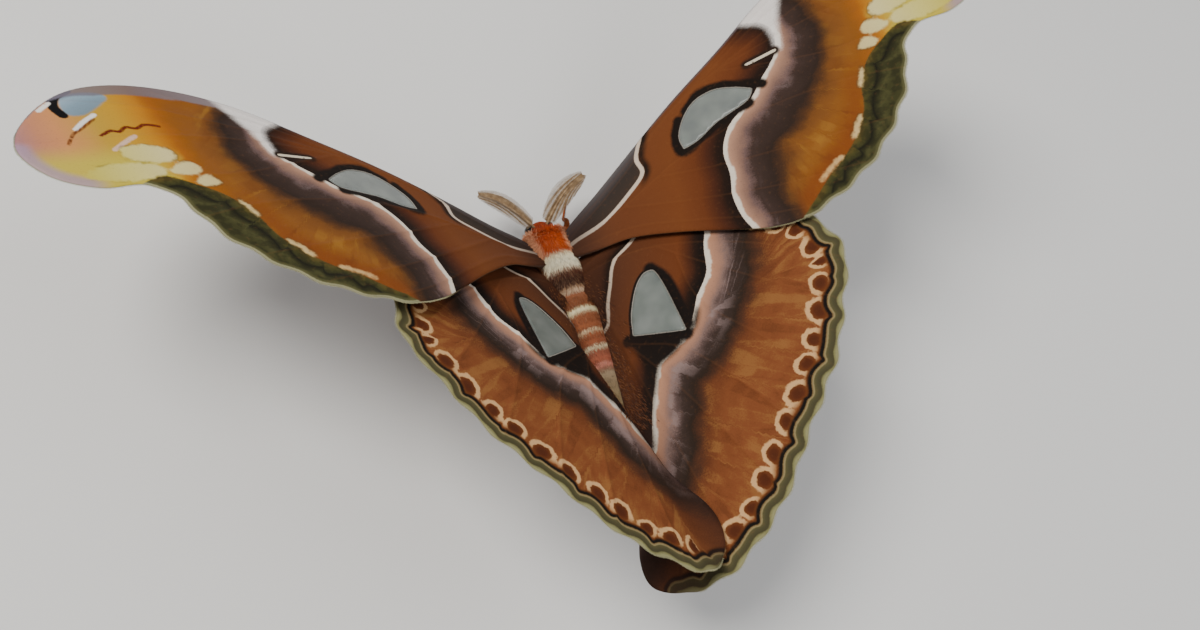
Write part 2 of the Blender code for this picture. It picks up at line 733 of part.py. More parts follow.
def build_wings(place, chest, rump):
    """Both pairs of wings, each cut clear of the body it grows from."""
    for side in SIDES:
        fore = wing_body(FOREWING, side, FOREWING_POSE[side])
        forewing = node_from(f"forewing_{side}", fore, "forewing", place)
        rear = wing_body(HINDWING[side], side, HINDWING_POSE[side])
        hind = node_from(f"hindwing_{side}", rear, "hindwing", place)
        for thing in (forewing, hind):
            apply_boolean(thing, "DIFFERENCE", other=chest)
        apply_boolean(hind, "DIFFERENCE", other=rump)
        for thing in (forewing, hind):
            keep_largest_surface(thing)


def set_on_origin(place):
    """Move every node so that the floor is z = 0 and the middle of the whole box is x = y = 0."""
    corners = []
    for thing in place.objects:
        corners.extend(vert.co.copy() for vert in thing.data.vertices)
    low = [min(corner[axis] for corner in corners) for axis in range(3)]
    high = [max(corner[axis] for corner in corners) for axis in range(3)]
    shift = Vector((-(low[0] + high[0]) / 2.0, -(low[1] + high[1]) / 2.0, -low[2]))
    for thing in place.objects:
        thing.data.transform(Matrix.Translation(shift))


def main():
    """Build the moth."""
    clear_scene()
    moth = collection("atlas_moth")
    scraps = collection("cutters")
    scraps.hide_render = True
    chest = cutter_from("chest_clearance", loft(thorax_rings(GAP)), scraps)
    rump = cutter_from("rump_clearance", loft(abdomen_rings(GAP)), scraps)
    brow = cutter_from("brow_clearance", loft(head_rings(GAP)), scraps)
    node_from("thorax", loft(thorax_rings()), "thorax", moth)
    node_from("abdomen", loft(abdomen_rings()), "abdomen", moth)
    build_head(moth, scraps)
    for side in SIDES:
        node_from(f"eye_{side}", ball(EYE_RADIUS, eye_centre(side)), "eye", moth)
        build_antenna(side, moth, scraps, brow)
    build_legs(moth, scraps, chest)
    build_wings(moth, chest, rump)
    set_on_origin(moth)


main()
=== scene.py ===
# %% [markdown]
# Atlas moth, a still, life-size model
#
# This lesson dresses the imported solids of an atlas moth. The moth stands on six legs with its wings
# raised, faces -Y and has its left side at +X. Lengths in the cells are millimetres in the moth's own
# frame, whose origin is on the axis of the thorax, and they become metres when a mesh is made.

# %% Load the frame
import math

import bpy
import numpy as np
from mathutils import Euler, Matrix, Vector
from mathutils.geometry import delaunay_2d_cdt


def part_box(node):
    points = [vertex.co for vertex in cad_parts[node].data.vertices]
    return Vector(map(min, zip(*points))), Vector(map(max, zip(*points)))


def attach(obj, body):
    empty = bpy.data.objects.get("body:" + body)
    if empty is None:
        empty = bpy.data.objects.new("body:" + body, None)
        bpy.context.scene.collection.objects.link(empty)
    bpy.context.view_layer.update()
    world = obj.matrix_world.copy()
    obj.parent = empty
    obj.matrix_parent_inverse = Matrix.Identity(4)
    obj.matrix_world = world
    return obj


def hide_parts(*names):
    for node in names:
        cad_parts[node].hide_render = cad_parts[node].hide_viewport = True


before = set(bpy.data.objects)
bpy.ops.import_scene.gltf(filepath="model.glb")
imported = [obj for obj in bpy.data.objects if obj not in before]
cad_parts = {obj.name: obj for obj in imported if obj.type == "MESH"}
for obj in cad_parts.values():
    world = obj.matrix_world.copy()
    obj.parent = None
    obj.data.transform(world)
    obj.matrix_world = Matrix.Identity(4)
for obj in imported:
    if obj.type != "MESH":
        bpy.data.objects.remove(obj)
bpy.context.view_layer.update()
MM = 0.001
SIDES = {"left": 1.0, "right": -1.0}
STAND_HEIGHT = 10.0
THORAX_FRONT = -17.6
chest_low, chest_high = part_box("thorax")
BODY = np.array([(chest_low.x + chest_high.x) / 2.0, chest_low.y - THORAX_FRONT * MM, STAND_HEIGHT * MM])
print("the moth's own origin is at", BODY.round(4))

# %% [markdown]
# The camera comes first, so that every later choice is judged in the picture's own framing. It looks
# down on the moth from behind its left side. The lens and the place were worked out from matching
# points on the wings.

# %% Camera
CAMERA_PLACE = (113.68, 94.59, 271.09)
CAMERA_TURN = (24.359, -15.262, 156.136)
SENSOR_WIDTH = 36.0
LENS = 35.688


def to_metres(points):
    """Points of the moth's own frame, in millimetres, as places in the scene."""
    return np.asarray(points, float) * MM + BODY


def placed(name, data):
    """A new object in the scene, with its data."""
    made = bpy.data.objects.new(name, data)
    bpy.context.scene.collection.objects.link(made)
    return made


lens = bpy.data.cameras.new("camera")
lens.sensor_fit = "HORIZONTAL"
lens.sensor_width = SENSOR_WIDTH
lens.lens = LENS
lens.clip_start = 0.01
camera = placed("camera", lens)
camera.location = Vector(to_metres(CAMERA_PLACE))
camera.rotation_euler = Euler([math.radians(angle) for angle in CAMERA_TURN], "XYZ")
bpy.context.scene.camera = camera
print("camera at", [round(value, 4) for value in camera.location])

# %% [markdown]
# A pale floor and three large, soft lamps make a plain studio. The key lamp stands in front of the
# moth's left side, so that the raised wings shade softly towards the body.

# %% Floor and lights
FLOOR_HALF = 1.6
LAMP_TARGET = Vector((0.0, 0.0, 0.03))
LAMPS = {
    "key": ((0.42, -0.30, 0.85), 0.50, 10.5, (1.0, 0.97, 0.93)),
    "fill": ((-0.75, 0.25, 0.65), 0.80, 3.6, (0.93, 0.96, 1.0)),
    "back": ((0.10, 0.95, 0.55), 0.60, 3.6, (1.0, 1.0, 1.0)),
}
WORLD_LIGHT = 0.36
RICHNESS = 1.02
DEPTH = 0.82


def hex_colour(code):
    """A colour written as six hex digits, as linear red, green, blue and one."""
    parts = [int(code[i:i + 2], 16) / 255.0 for i in (0, 2, 4)]
    return tuple(c / 12.92 if c < 0.04045 else ((c + 0.055) / 1.055) ** 2.4 for c in parts) + (1.0,)


def pigment(code):
    """The same, deeper and richer, because the picture's film response pales strong colours."""
    colour = hex_colour(code)[:3]
    grey = sum(colour) / 3.0
    return tuple(max(0.0, (grey + (c - grey) * RICHNESS) * DEPTH) for c in colour) + (1.0,)


def build_floor():
    """A broad pale sheet under the moth."""
    mesh = bpy.data.meshes.new("floor")
    h = FLOOR_HALF
    mesh.from_pydata([(-h, -h, 0.0), (h, -h, 0.0), (h, h, 0.0), (-h, h, 0.0)], [], [(0, 1, 2, 3)])
    floor = placed("floor", mesh)
    finish = bpy.data.materials.new("floor_paint")
    finish.use_nodes = True
    shader = finish.node_tree.nodes["Principled BSDF"]
    shader.inputs["Base Color"].default_value = hex_colour("d3d2cf")
    shader.inputs["Roughness"].default_value = 0.85
    mesh.materials.append(finish)


def build_lights():
    """Soft area lamps that all look at the middle of the moth, and a faint light from all sides."""
    for name, (place, size, power, tint) in LAMPS.items():
        lamp = bpy.data.lights.new(name, "AREA")
        lamp.shape = "DISK"
        lamp.size = size
        lamp.energy = power
        lamp.color = tint
        holder = placed(name, lamp)
        holder.location = place
        holder.rotation_euler = (LAMP_TARGET - holder.location).to_track_quat("-Z", "Y").to_euler()
    world = bpy.data.worlds.new("studio")
    world.use_nodes = True
    world.node_tree.nodes["Background"].inputs["Color"].default_value = (0.93, 0.95, 1.0, 1.0)
    world.node_tree.nodes["Background"].inputs["Strength"].default_value = WORLD_LIGHT
    bpy.context.scene.world = world


build_floor()
build_lights()

# %% [markdown]
# Everything on the wings is drawn on a flat wing first: the first number runs outwards from the body
# and the second towards the head. A few helpers measure distances there. Smooth lines run through
# given points, and each flat point gets its signed distance to a line or to a closed patch.

# %% Flat drawing helpers
CURVE_SAMPLES = 16
CHUNK = 2000


def path(*numbers, wide=2):
    """Points from plain numbers, two of them for each flat point."""
    return np.reshape(numbers, (-1, wide)).astype(float)


def unit(vectors):
    """The same directions with a length of one."""
    return vectors / np.maximum(1e-9, np.linalg.norm(vectors, axis=-1, keepdims=True))


def run_of(line):
    """How far along a line each of its points is."""
    return np.concatenate([[0.0], np.cumsum(np.linalg.norm(np.diff(line, axis=0), axis=1))])


def bell(values):
    """1 at nought, and a smooth fall to both sides."""
    return np.exp(-(values**2))


def smooth_line(points, step, closed=False):
    """Points every step along a curve through the given points."""
    knots = [np.array(point, float) for point in points]
    if closed:
        padded = [knots[-1], *knots, knots[0], knots[1]]
    else:
        padded = [2.0 * knots[0] - knots[1], *knots, 2.0 * knots[-1] - knots[-2]]
    fine = []
    for before, start, end, after in zip(padded, padded[1:], padded[2:], padded[3:]):
        bend = 2 * before - 5 * start + 4 * end - after
        curl = 3 * start - before - 3 * end + after
        for t in np.linspace(0.0, 1.0, CURVE_SAMPLES, endpoint=False):
            fine.append(0.5 * (2 * start + (end - before) * t + bend * t * t + curl * t**3))
    fine = np.array([*fine, knots[0] if closed else knots[-1]])
    run = run_of(fine)
    marks = np.linspace(0.0, run[-1], max(2, round(run[-1] / step)) + 1)
    if closed:
        marks = marks[:-1]
    return np.column_stack([np.interp(marks, run, values) for values in fine.T])


def along_line(points, line):
    """For flat points: the distance to a line, the same signed (+ to the left of travel), and the run."""
    start = line[:-1]
    step = line[1:] - start
    length = np.linalg.norm(step, axis=1)
    run = run_of(line)
    found = []
    for first in range(0, len(points), CHUNK):
        offset = points[first:first + CHUNK, None] - start
        t = np.clip((offset * step).sum(axis=2) / length**2, 0.0, 1.0)
        gap = np.linalg.norm(offset - step * t[..., None], axis=2)
        best = gap.argmin(axis=1)
        rows = np.arange(len(best))
        cross = step[best, 0] * offset[rows, best, 1] - step[best, 1] * offset[rows, best, 0]
        near = gap[rows, best]
        signed = near * np.where(cross >= 0.0, 1.0, -1.0)
        found.append((near, signed, run[best] + t[rows, best] * length[best]))
    return [np.concatenate(parts) for parts in zip(*found)]


def is_inside(points, polygon):
    """Which flat points lie inside a closed polygon."""
    inside = np.zeros(len(points), bool)
    for previous, corner in zip(np.roll(polygon, 1, axis=0), polygon):
        rise = previous[1] - corner[1]
        if abs(rise) > 1e-12:
            spans = (corner[1] > points[:, 1]) != (previous[1] > points[:, 1])
            cross = (previous[0] - corner[0]) * (points[:, 1] - corner[1]) / rise + corner[0]
            inside ^= spans & (points[:, 0] < cross)
    return inside


def to_patches(points, patches):
    """Signed distance to the nearest of some closed, rounded patches: negative inside it."""
    found = []
    for corners in patches:
        loop = smooth_line(corners, 0.6, closed=True)
        distance = along_line(points, np.vstack([loop, loop[:1]]))[0]
        found.append(np.where(is_inside(points, loop), -distance, distance))
    return np.min(found, axis=0)


def to_strokes(points, strokes, step=0.8):
    """Distance to the nearest of several strokes."""
    return np.min([along_line(points, smooth_line(stroke, step))[0] for stroke in strokes], axis=0)


# %% [markdown]
# The two kinds of wing, and how each of the four is held. These are the sizes that the solids were
# built from: the outline with its shallow waves, the main veins, the clear window, the turns of the
# wing at its hinge, and the way it bows. Only the inner margins of the hindwings have been moved since,
# by up to 2.5 mm, so that they meet the abdomen as they should.

# %% Wing design
WAVE_FADE = 1.0
FOREWING = {
    "hinge": (5.0, 3.0),
    "seat": (3.5, 4.6, 2.9),
    "outline": path(
        3, 12.5, 9, 17.5, 25, 27.2, 42, 37.4, 58, 46, 74, 55.6, 88, 60.4, 101, 61.4, 112, 58.2,
        121.5, 49.8, 125.7, 41, 122.4, 32.6, 115, 28.4, 106.5, 28.4, 101.4, 23, 98.4, 13.6, 92.6, 4.8,
        84.6, -3, 75.5, -8, 66, -10.8, 57, -9.9, 48, -6.4, 35, -0.6, 22, 4.2, 12, 5.4, 6, 6.2, 3, 6.8,
    ),
    "outer": (10, 20),
    "leading": (0, 9),
    "waves": (13, 19.5, 9.6, 0.45),
    "veins": [
        path(5, 12.8, 28, 26.6, 52, 40.4, 68, 49.8, 79, 56),
        path(5, 11.2, 24, 22.4, 38, 32.6, 46, 36.6, 56, 40, 76, 46.4, 98, 53.2, 113, 55.4),
        path(46, 36.6, 66, 46.6, 84, 54.6, 93, 59),
        path(56, 40, 78, 42.6, 100, 43.4, 123, 42),
        path(56, 40, 69, 35.4, 86, 30.8, 105, 30.4),
        path(5, 9.8, 20, 13, 33, 17.4, 40, 19.6, 60, 22.4, 82, 21.4, 99.4, 17.6),
        path(33, 17.4, 52, 12, 74, 8, 92, 5.6),
        path(22, 13.6, 40, 6.6, 62, 0, 83, -3.4),
        path(5, 7.6, 22, 7, 40, 0.4, 54, -5.4, 68, -9.2),
    ],
    "window": path(
        41.9, 22.8, 41.8, 26.6, 44.6, 31.4, 48.6, 34.5, 54, 35, 59, 33, 62.9, 30.5, 63.3, 30.1,
        63.1, 29.6, 61.2, 27.5, 56, 26.2, 51.6, 25.2, 46.6, 22.9, 42.6, 22.2,
    ),
    "swell_up": 1.0,
}


def hindwing(heel, *inner_margin):
    """The hindwing: the heel is the reach of its rear inner corner towards the body."""
    return {
        "hinge": (5.0, -4.0),
        "seat": (2.1, -2.3, 2.3),
        "outline": path(
            2, 4.4, 7, 6.8, 20, 9.6, 38, 7, 53.6, -0.8, 63.4, -9.2, 67.6, -17.6, 69.4, -27, 65.6, -36,
            61.8, -43.6, 57.6, -50.8, 51.4, -58, 44.4, -65.6, 37.8, -73.4, 29.4, -80.4, 17.6, -86.6,
            (17.0 + heel) / 2.0, -86.8, heel + 1.2, -82.8, heel, -75.5, *inner_margin, 2, -3.6,
        ),
        "outer": (4, 16.4),
        "leading": (0, 4),
        "waves": (5.5, 16.5, 10.4, 0.5),
        "veins": [
            path(4, 2.6, 22, 5.2, 44, 0.6, 58, -7.2, 67, -17),
            path(4, 1, 18, 0.6, 32, -3.6, 50, -13.6, 68, -27.6),
            path(28, -2, 38, -13, 50, -25, 63.4, -37.4),
            path(32, -7, 33.6, -22, 44, -38, 54.4, -51.6),
            path(4, -0.6, 9.6, -10, 11.6, -22.6, 25, -31.4, 36, -47, 44, -62.4),
            path(11.6, -22.6, 19, -36, 27, -54, 34.6, -73.6),
            path(10.6, -17, 13.2, -36, 17, -60, 20.4, -83.6),
        ],
        "window": path(
            23.8, -7.5, 25.3, -8.6, 26.4, -14, 27.1, -21, 27.6, -26.9, 27.5, -27.4, 27, -27.4,
            20.6, -24.9, 15.1, -22.6, 14.8, -22.2, 14.9, -21.6, 16.2, -16.4, 19.2, -10.6, 21.8, -7.9,
        ),
        "swell_up": 0.0,
        "crease": path(11.4, -58, 11.4, -48, 12.6, -36, 14.2, -24),
    }


WINGS = {
    ("forewing", "left"): FOREWING,
    ("forewing", "right"): FOREWING,
    ("hindwing", "left"): hindwing(
        6.2, 7.8, -65.5, 9.6, -55, 10.4, -43, 10.6, -28, 10.1, -17, 9.9, -11, 7.8, -6.4
    ),
    ("hindwing", "right"): hindwing(
        -2.0, 1.8, -65.5, 4.8, -55, 6, -43, 6.9, -28, 7.5, -18, 7.9, -12, 7, -7
    ),
}
# How each wing is held: sweep, pitch and lift in degrees, three bows, fold in degrees, and heel curl
HOLD = {
    ("forewing", "left"): (3.9, -20.0, 42.9, -17.96e-4, -2.41e-4, 5.82e-4, 0.0, 0.0),
    ("forewing", "right"): (-3.7, -15.0, 41.7, -8.66e-4, -2.43e-4, 3.64e-4, 0.0, 0.0),
    ("hindwing", "left"): (9.7, -17.4, 35.8, -0.47e-4, -5.64e-4, 10.80e-4, 36.0, 0.09),
    ("hindwing", "right"): (0.1, -18.1, 41.4, -11.91e-4, -6.54e-4, 1.76e-4, 8.0, 0.0),
}

# %% [markdown]
# One formula carries a flat wing into space. It lifts the flat point by the bows, turns it about the
# hinge, and sets it on its seat beside the thorax. The same formula shaped the solids, so the fine
# wing lies where the coarse one is.

# %% From the flat wing to the raised one
FOLD_FRONT = -14.0
FOLD_REAR = -72.0
HEEL_FRONT = -47.0
HEEL_REACH = 12.0
NORMAL_REACH = 0.25


def turned(axis, degrees):
    """A rotation about axis 0, 1 or 2."""
    angle = math.radians(degrees)
    i, j = (axis + 1) % 3, (axis + 2) % 3
    made = np.eye(3)
    made[i, i] = made[j, j] = math.cos(angle)
    made[j, i] = math.sin(angle)
    made[i, j] = -math.sin(angle)
    return made


def fold_depth(wing, fold, heel_curl, flat):
    """How far a hindwing's inner field hangs below the rest, less the rise of its heel."""
    if "crease" not in wing:
        return 0.0
    out, fore = flat.T
    crease_out, crease_fore = wing["crease"].T
    inside = np.maximum(0.0, np.interp(fore, crease_fore, crease_out) - out)
    fade = np.clip(np.minimum((FOLD_FRONT - fore) / 10.0, (fore - FOLD_REAR) / 14.0), 0, 1)
    soft = inside * inside / (inside + 1.2)
    hang = math.tan(math.radians(fold)) * soft * fade * fade * (3.0 - 2.0 * fade)
    heel = np.maximum(0.0, HEEL_REACH - out) ** 2 * np.clip((HEEL_FRONT - fore) / 8.0, 0, 1)
    return hang - heel_curl * heel


def wing_surface(key, flat):
    """The middle of the membrane in the moth's frame, in millimetres."""
    wing = WINGS[key]
    sweep, pitch, lift, bow_out, bow_along, twist, fold, heel_curl = HOLD[key]
    out, fore = (flat - wing["hinge"]).T
    rise = bow_out * out**2 + bow_along * fore**2 + twist * out * fore
    rise = rise - fold_depth(wing, fold, heel_curl, flat)
    turn = turned(1, -lift) @ turned(0, pitch) @ turned(2, sweep)
    return (np.column_stack([out, fore, rise]) @ turn.T + wing["seat"]) * (SIDES[key[1]], -1.0, 1.0)


def wing_normal(key, flat):
    """The upward normal of the membrane."""
    ways = np.eye(2) * NORMAL_REACH
    u, v = (wing_surface(key, flat + way) - wing_surface(key, flat - way) for way in ways)
    normal = unit(np.cross(u, v))
    return normal * np.where(normal[:, 2:] > 0.0, 1.0, -1.0)


def margin_of(wing, step, waves=True):
    """The wing's outline, the place of each point among the outline's points, and the way out."""
    line = smooth_line([(*point, index) for index, point in enumerate(wing["outline"])], step, closed=True)
    flat, station = line[:, :2], line[:, 2]
    ahead = np.roll(flat, -1, axis=0) - np.roll(flat, 1, axis=0)
    outward = unit(np.column_stack([-ahead[:, 1], ahead[:, 0]]))
    start, end, length, depth = wing["waves"]
    fade = np.clip(np.minimum(station - start, end - station) / WAVE_FADE, 0.0, 1.0)
    wave = np.cos(2.0 * math.pi * run_of(flat) / length) * depth * fade * waves
    return flat + outward * wave[:, None], station, outward


# %% [markdown]
# The markings of an atlas moth are bands that follow two lines, one near the body and one past the
# window, and bands that follow the outer margin. So each point of the wing only needs to know how far
# it is from those lines. The paint then reads these distances, as a painter who works from the edge
# of a stencil. The line past the window is called the outer line here, and the other the inner line.

# %% Lines and patches of the markings
OUTER_LINE = {
    "forewing": path(
        60, 60, 66, 51.6, 71.6, 48.2, 73.6, 43, 71.4, 36.4, 66.4, 31.6, 62.4, 27.4, 55.4, 22.9,
        51.4, 16.6, 51, 9, 49.8, 2.4, 50.4, -4, 52, -9, 53, -16,
    ),
    "hindwing": path(
        45, 14, 42.4, 4, 40.8, -4.4, 39, -9.6, 37.6, -15.6, 33.2, -21, 29.2, -27, 23.6, -30.6,
        18.4, -32.6, 15.5, -38, 12.6, -44.6, 10.2, -51, 6.6, -56.6, 0, -64, -10, -74,
    ),
}
INNER_LINE = {
    "forewing": path(-2, 7.4, 7, 10.2, 16, 12.3, 24, 16.6, 29.4, 20.8, 29, 25.6, 31.4, 31.4, 34, 38),
    "hindwing": path(34, 12, 23, 3.9, 16, 0.2, 12.9, -6, 10.9, -10.6, 9.9, -14.4, 8.4, -16.8, 2, -18.4),
}
# The forewing's olive border starts at this line
BORDER_LINE = path(
    112, 26, 103, 30.2, 96.2, 27.2, 91.8, 23.6, 88.4, 17.6, 86.4, 10.2, 80.8, 2.6, 72.6, -3.6,
    66.6, -8.8, 60, -14,
)
WINDOW_SHADOW = {
    "forewing": [
        path(42.6, 30.8, 40.8, 27, 40.7, 22.8, 42.2, 21, 46, 22),
        path(45.4, 32.9, 50, 35.7, 56, 35.2, 62.4, 32.2, 66.4, 30.2),
        path(46, 22, 54, 25, 61.6, 26.6),
    ],
    "hindwing": [
        path(13.2, -23.4, 20.4, -26, 27.6, -28.8),
        path(24.4, -7, 27.4, -13, 28.5, -26.4),
    ],
}
# The small figures of the forewing
STROKES = {
    "slit": [path(64.2, 37.7, 72.2, 38.2)],
    "crescent": [path(110.8, 59, 113.9, 56.6, 115.1, 53.6, 114.2, 50.8)],
    "white_ticks": [
        path(118.2, 52.4, 115.6, 54.8),
        path(113.5, 46, 111.2, 48.4, 108.2, 50.8),
    ],
    "brown_ticks": [path(116.4, 41.4, 114.4, 44.6, 112.6, 46, 108.8, 49.4)],
    "zigzag": [path(
        109.6, 43.6, 107, 45.4, 105.4, 44.9, 103.6, 46.6, 101.6, 46, 99.4, 47.4, 96.4, 46.9,
    )],
    "pink_marks": [
        path(108.6, 39.2, 105.8, 41.4, 103, 43.2),
        path(106.4, 38.8, 104.4, 40.2),
    ],
}
PATCHES = {
    "eye_patch": [path(113, 56.4, 108.8, 58.2, 104.4, 58, 103.8, 56, 108, 52.2, 110.8, 50.6, 113.6, 51.4)],
    "flare": [path(
        66, 50.6, 69, 54, 74, 56.6, 79.5, 58.6, 78.6, 54, 76.6, 49, 75.2, 44, 74, 38, 72.6, 39,
        72.6, 43, 71.2, 47.2,
    )],
    "lobes": [
        path(107.4, 39.4, 103.4, 40.6, 98.2, 39.4, 97.2, 36.6, 100.2, 35, 106.6, 36),
        path(117, 31.6, 112, 34.6, 106.9, 34.8, 101.8, 33.8, 102, 30.8, 108.8, 29.6),
        path(100.4, 31.6, 98, 34.2, 94.8, 34.8, 93.6, 32, 96.7, 30.4),
        path(96.6, 28.3, 93.6, 30.3, 91.4, 28.2, 94, 27),
        path(90.4, 22, 89.6, 21.8, 87.8, 17.8, 88.6, 17.4),
        path(85.6, 9, 84.6, 9, 81.6, 4.8, 82.8, 4.4),
        path(77.6, 0.2, 76.4, 0.8, 71, -3, 72, -3.4),
    ],
}
DARK_FIELD = path(
    13.4, -23, 20, -26.2, 27.2, -29.8, 32, -24, 30, -28, 23.6, -31.6, 18.4, -33.4, 15.2, -38.8,
    11.6, -45.6, 10.2, -52, 9.4, -50, 11.2, -43, 15, -34, 14.6, -28,
)
CHAIN_INSET = 5.7
CHAIN_STEP = 7.3
CHAIN_HALF_ALONG = 2.9
CHAIN_HALF_ACROSS = 2.7
# How much narrower the forewing's outer bands are, by the run along the outer line
BAND_SHARES = path(0, 1.45, 14, 1.4, 24, 1.12, 34, 0.84, 60, 0.84, 72, 1, 90, 1.15)
LINE_STEP = 0.7

# %% [markdown]
# Each distance has a name of its own. It is worked out for every point of a wing's net and kept on
# the mesh, where the shader nodes read it back by that name.

# %% Distances for the paint


def open_margin(wing, name, waves=True):
    """A named stretch of the outline, as an open line."""
    line, station, _ = margin_of(wing, LINE_STEP, waves)
    start, end = wing[name]
    first = int(np.argmax(station >= start))
    last = first + int(np.argmax(station[first:] > end))
    return line[first:last]


def chain_field(flat, margin):
    """Nearness to the hindwing's chain of spots: 1 on the rim of the nearest spot, less inside it."""
    inset, _, run = along_line(flat, margin)
    last = along_line(margin[-1:], margin)[2][0]
    nearest = np.full(len(flat), 9.0)
    for number, middle in enumerate(np.arange(CHAIN_STEP * 0.5, last, CHAIN_STEP)):
        size = 0.98 + 0.09 * math.sin(2.3 * number)
        inward = CHAIN_INSET + 0.3 * math.sin(1.7 * number + 1.0)
        across = (inset - inward) / (CHAIN_HALF_ACROSS * size)
        along = (run - middle - 0.4 * math.sin(3.1 * number)) / (CHAIN_HALF_ALONG * size)
        nearest = np.minimum(nearest, np.hypot(along + 0.22 * math.sin(1.3 * number) * across, across))
    return nearest


def mark_fields(key, flat):
    """Every distance that the paint of this wing reads, by name."""
    kind = key[0]
    wing = WINGS[key]
    rim = margin_of(wing, LINE_STEP)[0]
    edge, _, run = along_line(flat, open_margin(wing, "outer"))
    _, beyond, beside = along_line(flat, smooth_line(OUTER_LINE[kind], LINE_STEP))
    inner = along_line(flat, smooth_line(INNER_LINE[kind], LINE_STEP))[1]
    fields = {
        "outer_line": beyond,
        "band": beyond,
        "inner_line": inner if kind == "hindwing" else -inner,
        "edge": edge,
        "run": run,
        "rim": along_line(flat, np.vstack([rim, rim[:1]]))[0],
        "leading": along_line(flat, open_margin(wing, "leading"))[0],
        "pane": to_patches(flat, [wing["window"]]),
        "shadow": to_strokes(flat, WINDOW_SHADOW[kind]),
        "vein": to_strokes(flat, wing["veins"], 1.6),
    }
    if kind == "hindwing":
        fields["chain"] = chain_field(flat, open_margin(wing, "outer", waves=False))
        fields["dark_field"] = to_patches(flat, [DARK_FIELD])
    else:
        fields["band"] = beyond * np.interp(beside, *BAND_SHARES.T)
        fields["border"] = -along_line(flat, smooth_line(BORDER_LINE, 0.8))[1]
        fields |= {name: to_strokes(flat, strokes) for name, strokes in STROKES.items()}
        fields |= {name: to_patches(flat, patches) for name, patches in PATCHES.items()}
    return fields


# %% [markdown]
# Each wing is cut from one flat net of small triangles. The net has points along its margin, its
# window and its veins, and a fine even field between them. Both faces use the same triangles, a wall
# joins them at every edge, and the veins stand up as soft ridges. The real membrane is thinner than
# paper; this one is a third of a millimetre, so that it stays a true solid.

# %% Wing meshes
CELL = 0.66
VEIN_RUN = 0.8
VEIN_STRANDS = (0.0, -0.42, 0.42, -0.9, 0.9)
VEIN_CLEAR = 0.26
HALF_THICKNESS = 0.17
RIM_TAPER = 0.9
VEIN_RISE = 0.26
VEIN_SPREAD = 0.55
PLEAT_RISE = 0.13
PLEAT_SPREAD = 2.6
ROOT_SWELL = 1.05
ROOT_REACH = 7.0


def thinned(candidates, fixed, reach):
    """The candidate points that keep clear of the fixed ones."""
    chunks = [candidates[first:first + CHUNK] for first in range(0, len(candidates), CHUNK)]
    gaps = [np.linalg.norm(part[:, None] - fixed, axis=2).min(axis=1) for part in chunks]
    return candidates[np.concatenate(gaps) > reach]


def triangulated(points, count, edges=()):
    """A flat net over the points, bounded by the loop of the first ones."""
    corners = [Vector(point) for point in points]
    flat, _, triangles, _, _, _ = delaunay_2d_cdt(corners, list(edges), [list(range(count))], 1, 1e-5)
    return np.array(flat), np.array(triangles)


def flat_net(wing):
    """Flat points and triangles of a wing, with its window left open."""
    margin = margin_of(wing, CELL)[0]
    window = smooth_line(wing["window"], CELL * 0.9, closed=True)
    points = np.vstack([margin, window])

    def added(more, reach):
        """The points so far, and more of them that lie on the wing and keep clear of those."""
        more = more[is_inside(more, margin) & ~is_inside(more, window)]
        return np.vstack([points, thinned(more, points, reach)])

    for vein in wing["veins"]:
        line = smooth_line(vein, VEIN_RUN)
        ahead = np.gradient(line, axis=0)
        across = unit(np.column_stack([-ahead[:, 1], ahead[:, 0]]))
        points = added(np.vstack([line + across * offset for offset in VEIN_STRANDS]), VEIN_CLEAR)
    rows = np.arange(margin[:, 1].min(), margin[:, 1].max(), CELL * 0.866)
    columns = np.arange(margin[:, 0].min(), margin[:, 0].max(), CELL)
    field = np.array([(u + (row % 2) * CELL / 2.0, v) for row, v in enumerate(rows) for u in columns])
    points = added(field, CELL * 0.62)
    count = len(margin)
    edges = [(count + i, count + (i + 1) % len(window)) for i in range(len(window))]
    flat, triangles = triangulated(points, count, edges)
    return flat, triangles[~is_inside(flat[triangles].mean(axis=1), window)]


# %% [markdown]
# The net becomes a closed sheet. An edge that only one triangle has lies on the rim, and a wall of two
# triangles joins both faces there.

# %% Closed wings


def rim_edges(triangles):
    """The directed edges that only one triangle has."""
    pairs = np.vstack([triangles[:, [0, 1]], triangles[:, [1, 2]], triangles[:, [2, 0]]])
    known = set(map(tuple, pairs))
    return np.array([pair for pair in known if (pair[1], pair[0]) not in known])


def mesh_object(name, places, faces, finish):
    """A named object whose mesh is already where it belongs, with one finish."""
    mesh = bpy.data.meshes.new(name)
    mesh.from_pydata(np.asarray(places).tolist(), [], [[int(index) for index in face] for face in faces])
    mesh.shade_smooth()
    mesh.materials.append(finish)
    return placed(name, mesh)


def write_fields(thing, fields):
    """Keeps one number or one vector per point under each name."""
    for name, values in fields.items():
        kind = "FLOAT" if np.ndim(values) == 1 else "FLOAT_VECTOR"
        layer = thing.data.attributes.new(name, kind, "POINT")
        member = "value" if kind == "FLOAT" else "vector"
        layer.data.foreach_set(member, np.ravel(values).astype(np.float32))


def closed_sheet(name, key, flat, triangles, above, below, finish, fields):
    """A thin closed sheet on one wing: two faces, and a wall between them at every edge."""
    count = len(flat)
    a, b = rim_edges(triangles).T
    walls = [np.column_stack([b, a, a + count]), np.column_stack([b, a + count, b + count])]
    faces = np.vstack([triangles, triangles[:, ::-1] + count, *walls])
    if key[1] == "left":
        faces = faces[:, ::-1]
    thing = mesh_object(name + "_".join(key), to_metres(np.vstack([above, below])), faces, finish)
    fields = {**fields, "flat": np.column_stack([flat, np.zeros(count)])}
    write_fields(thing, {label: np.concatenate([values, values]) for label, values in fields.items()})
    write_fields(thing, {"under": np.repeat([0.0, 1.0], count)})
    print(thing.name, "has", len(faces), "triangles")
    return thing


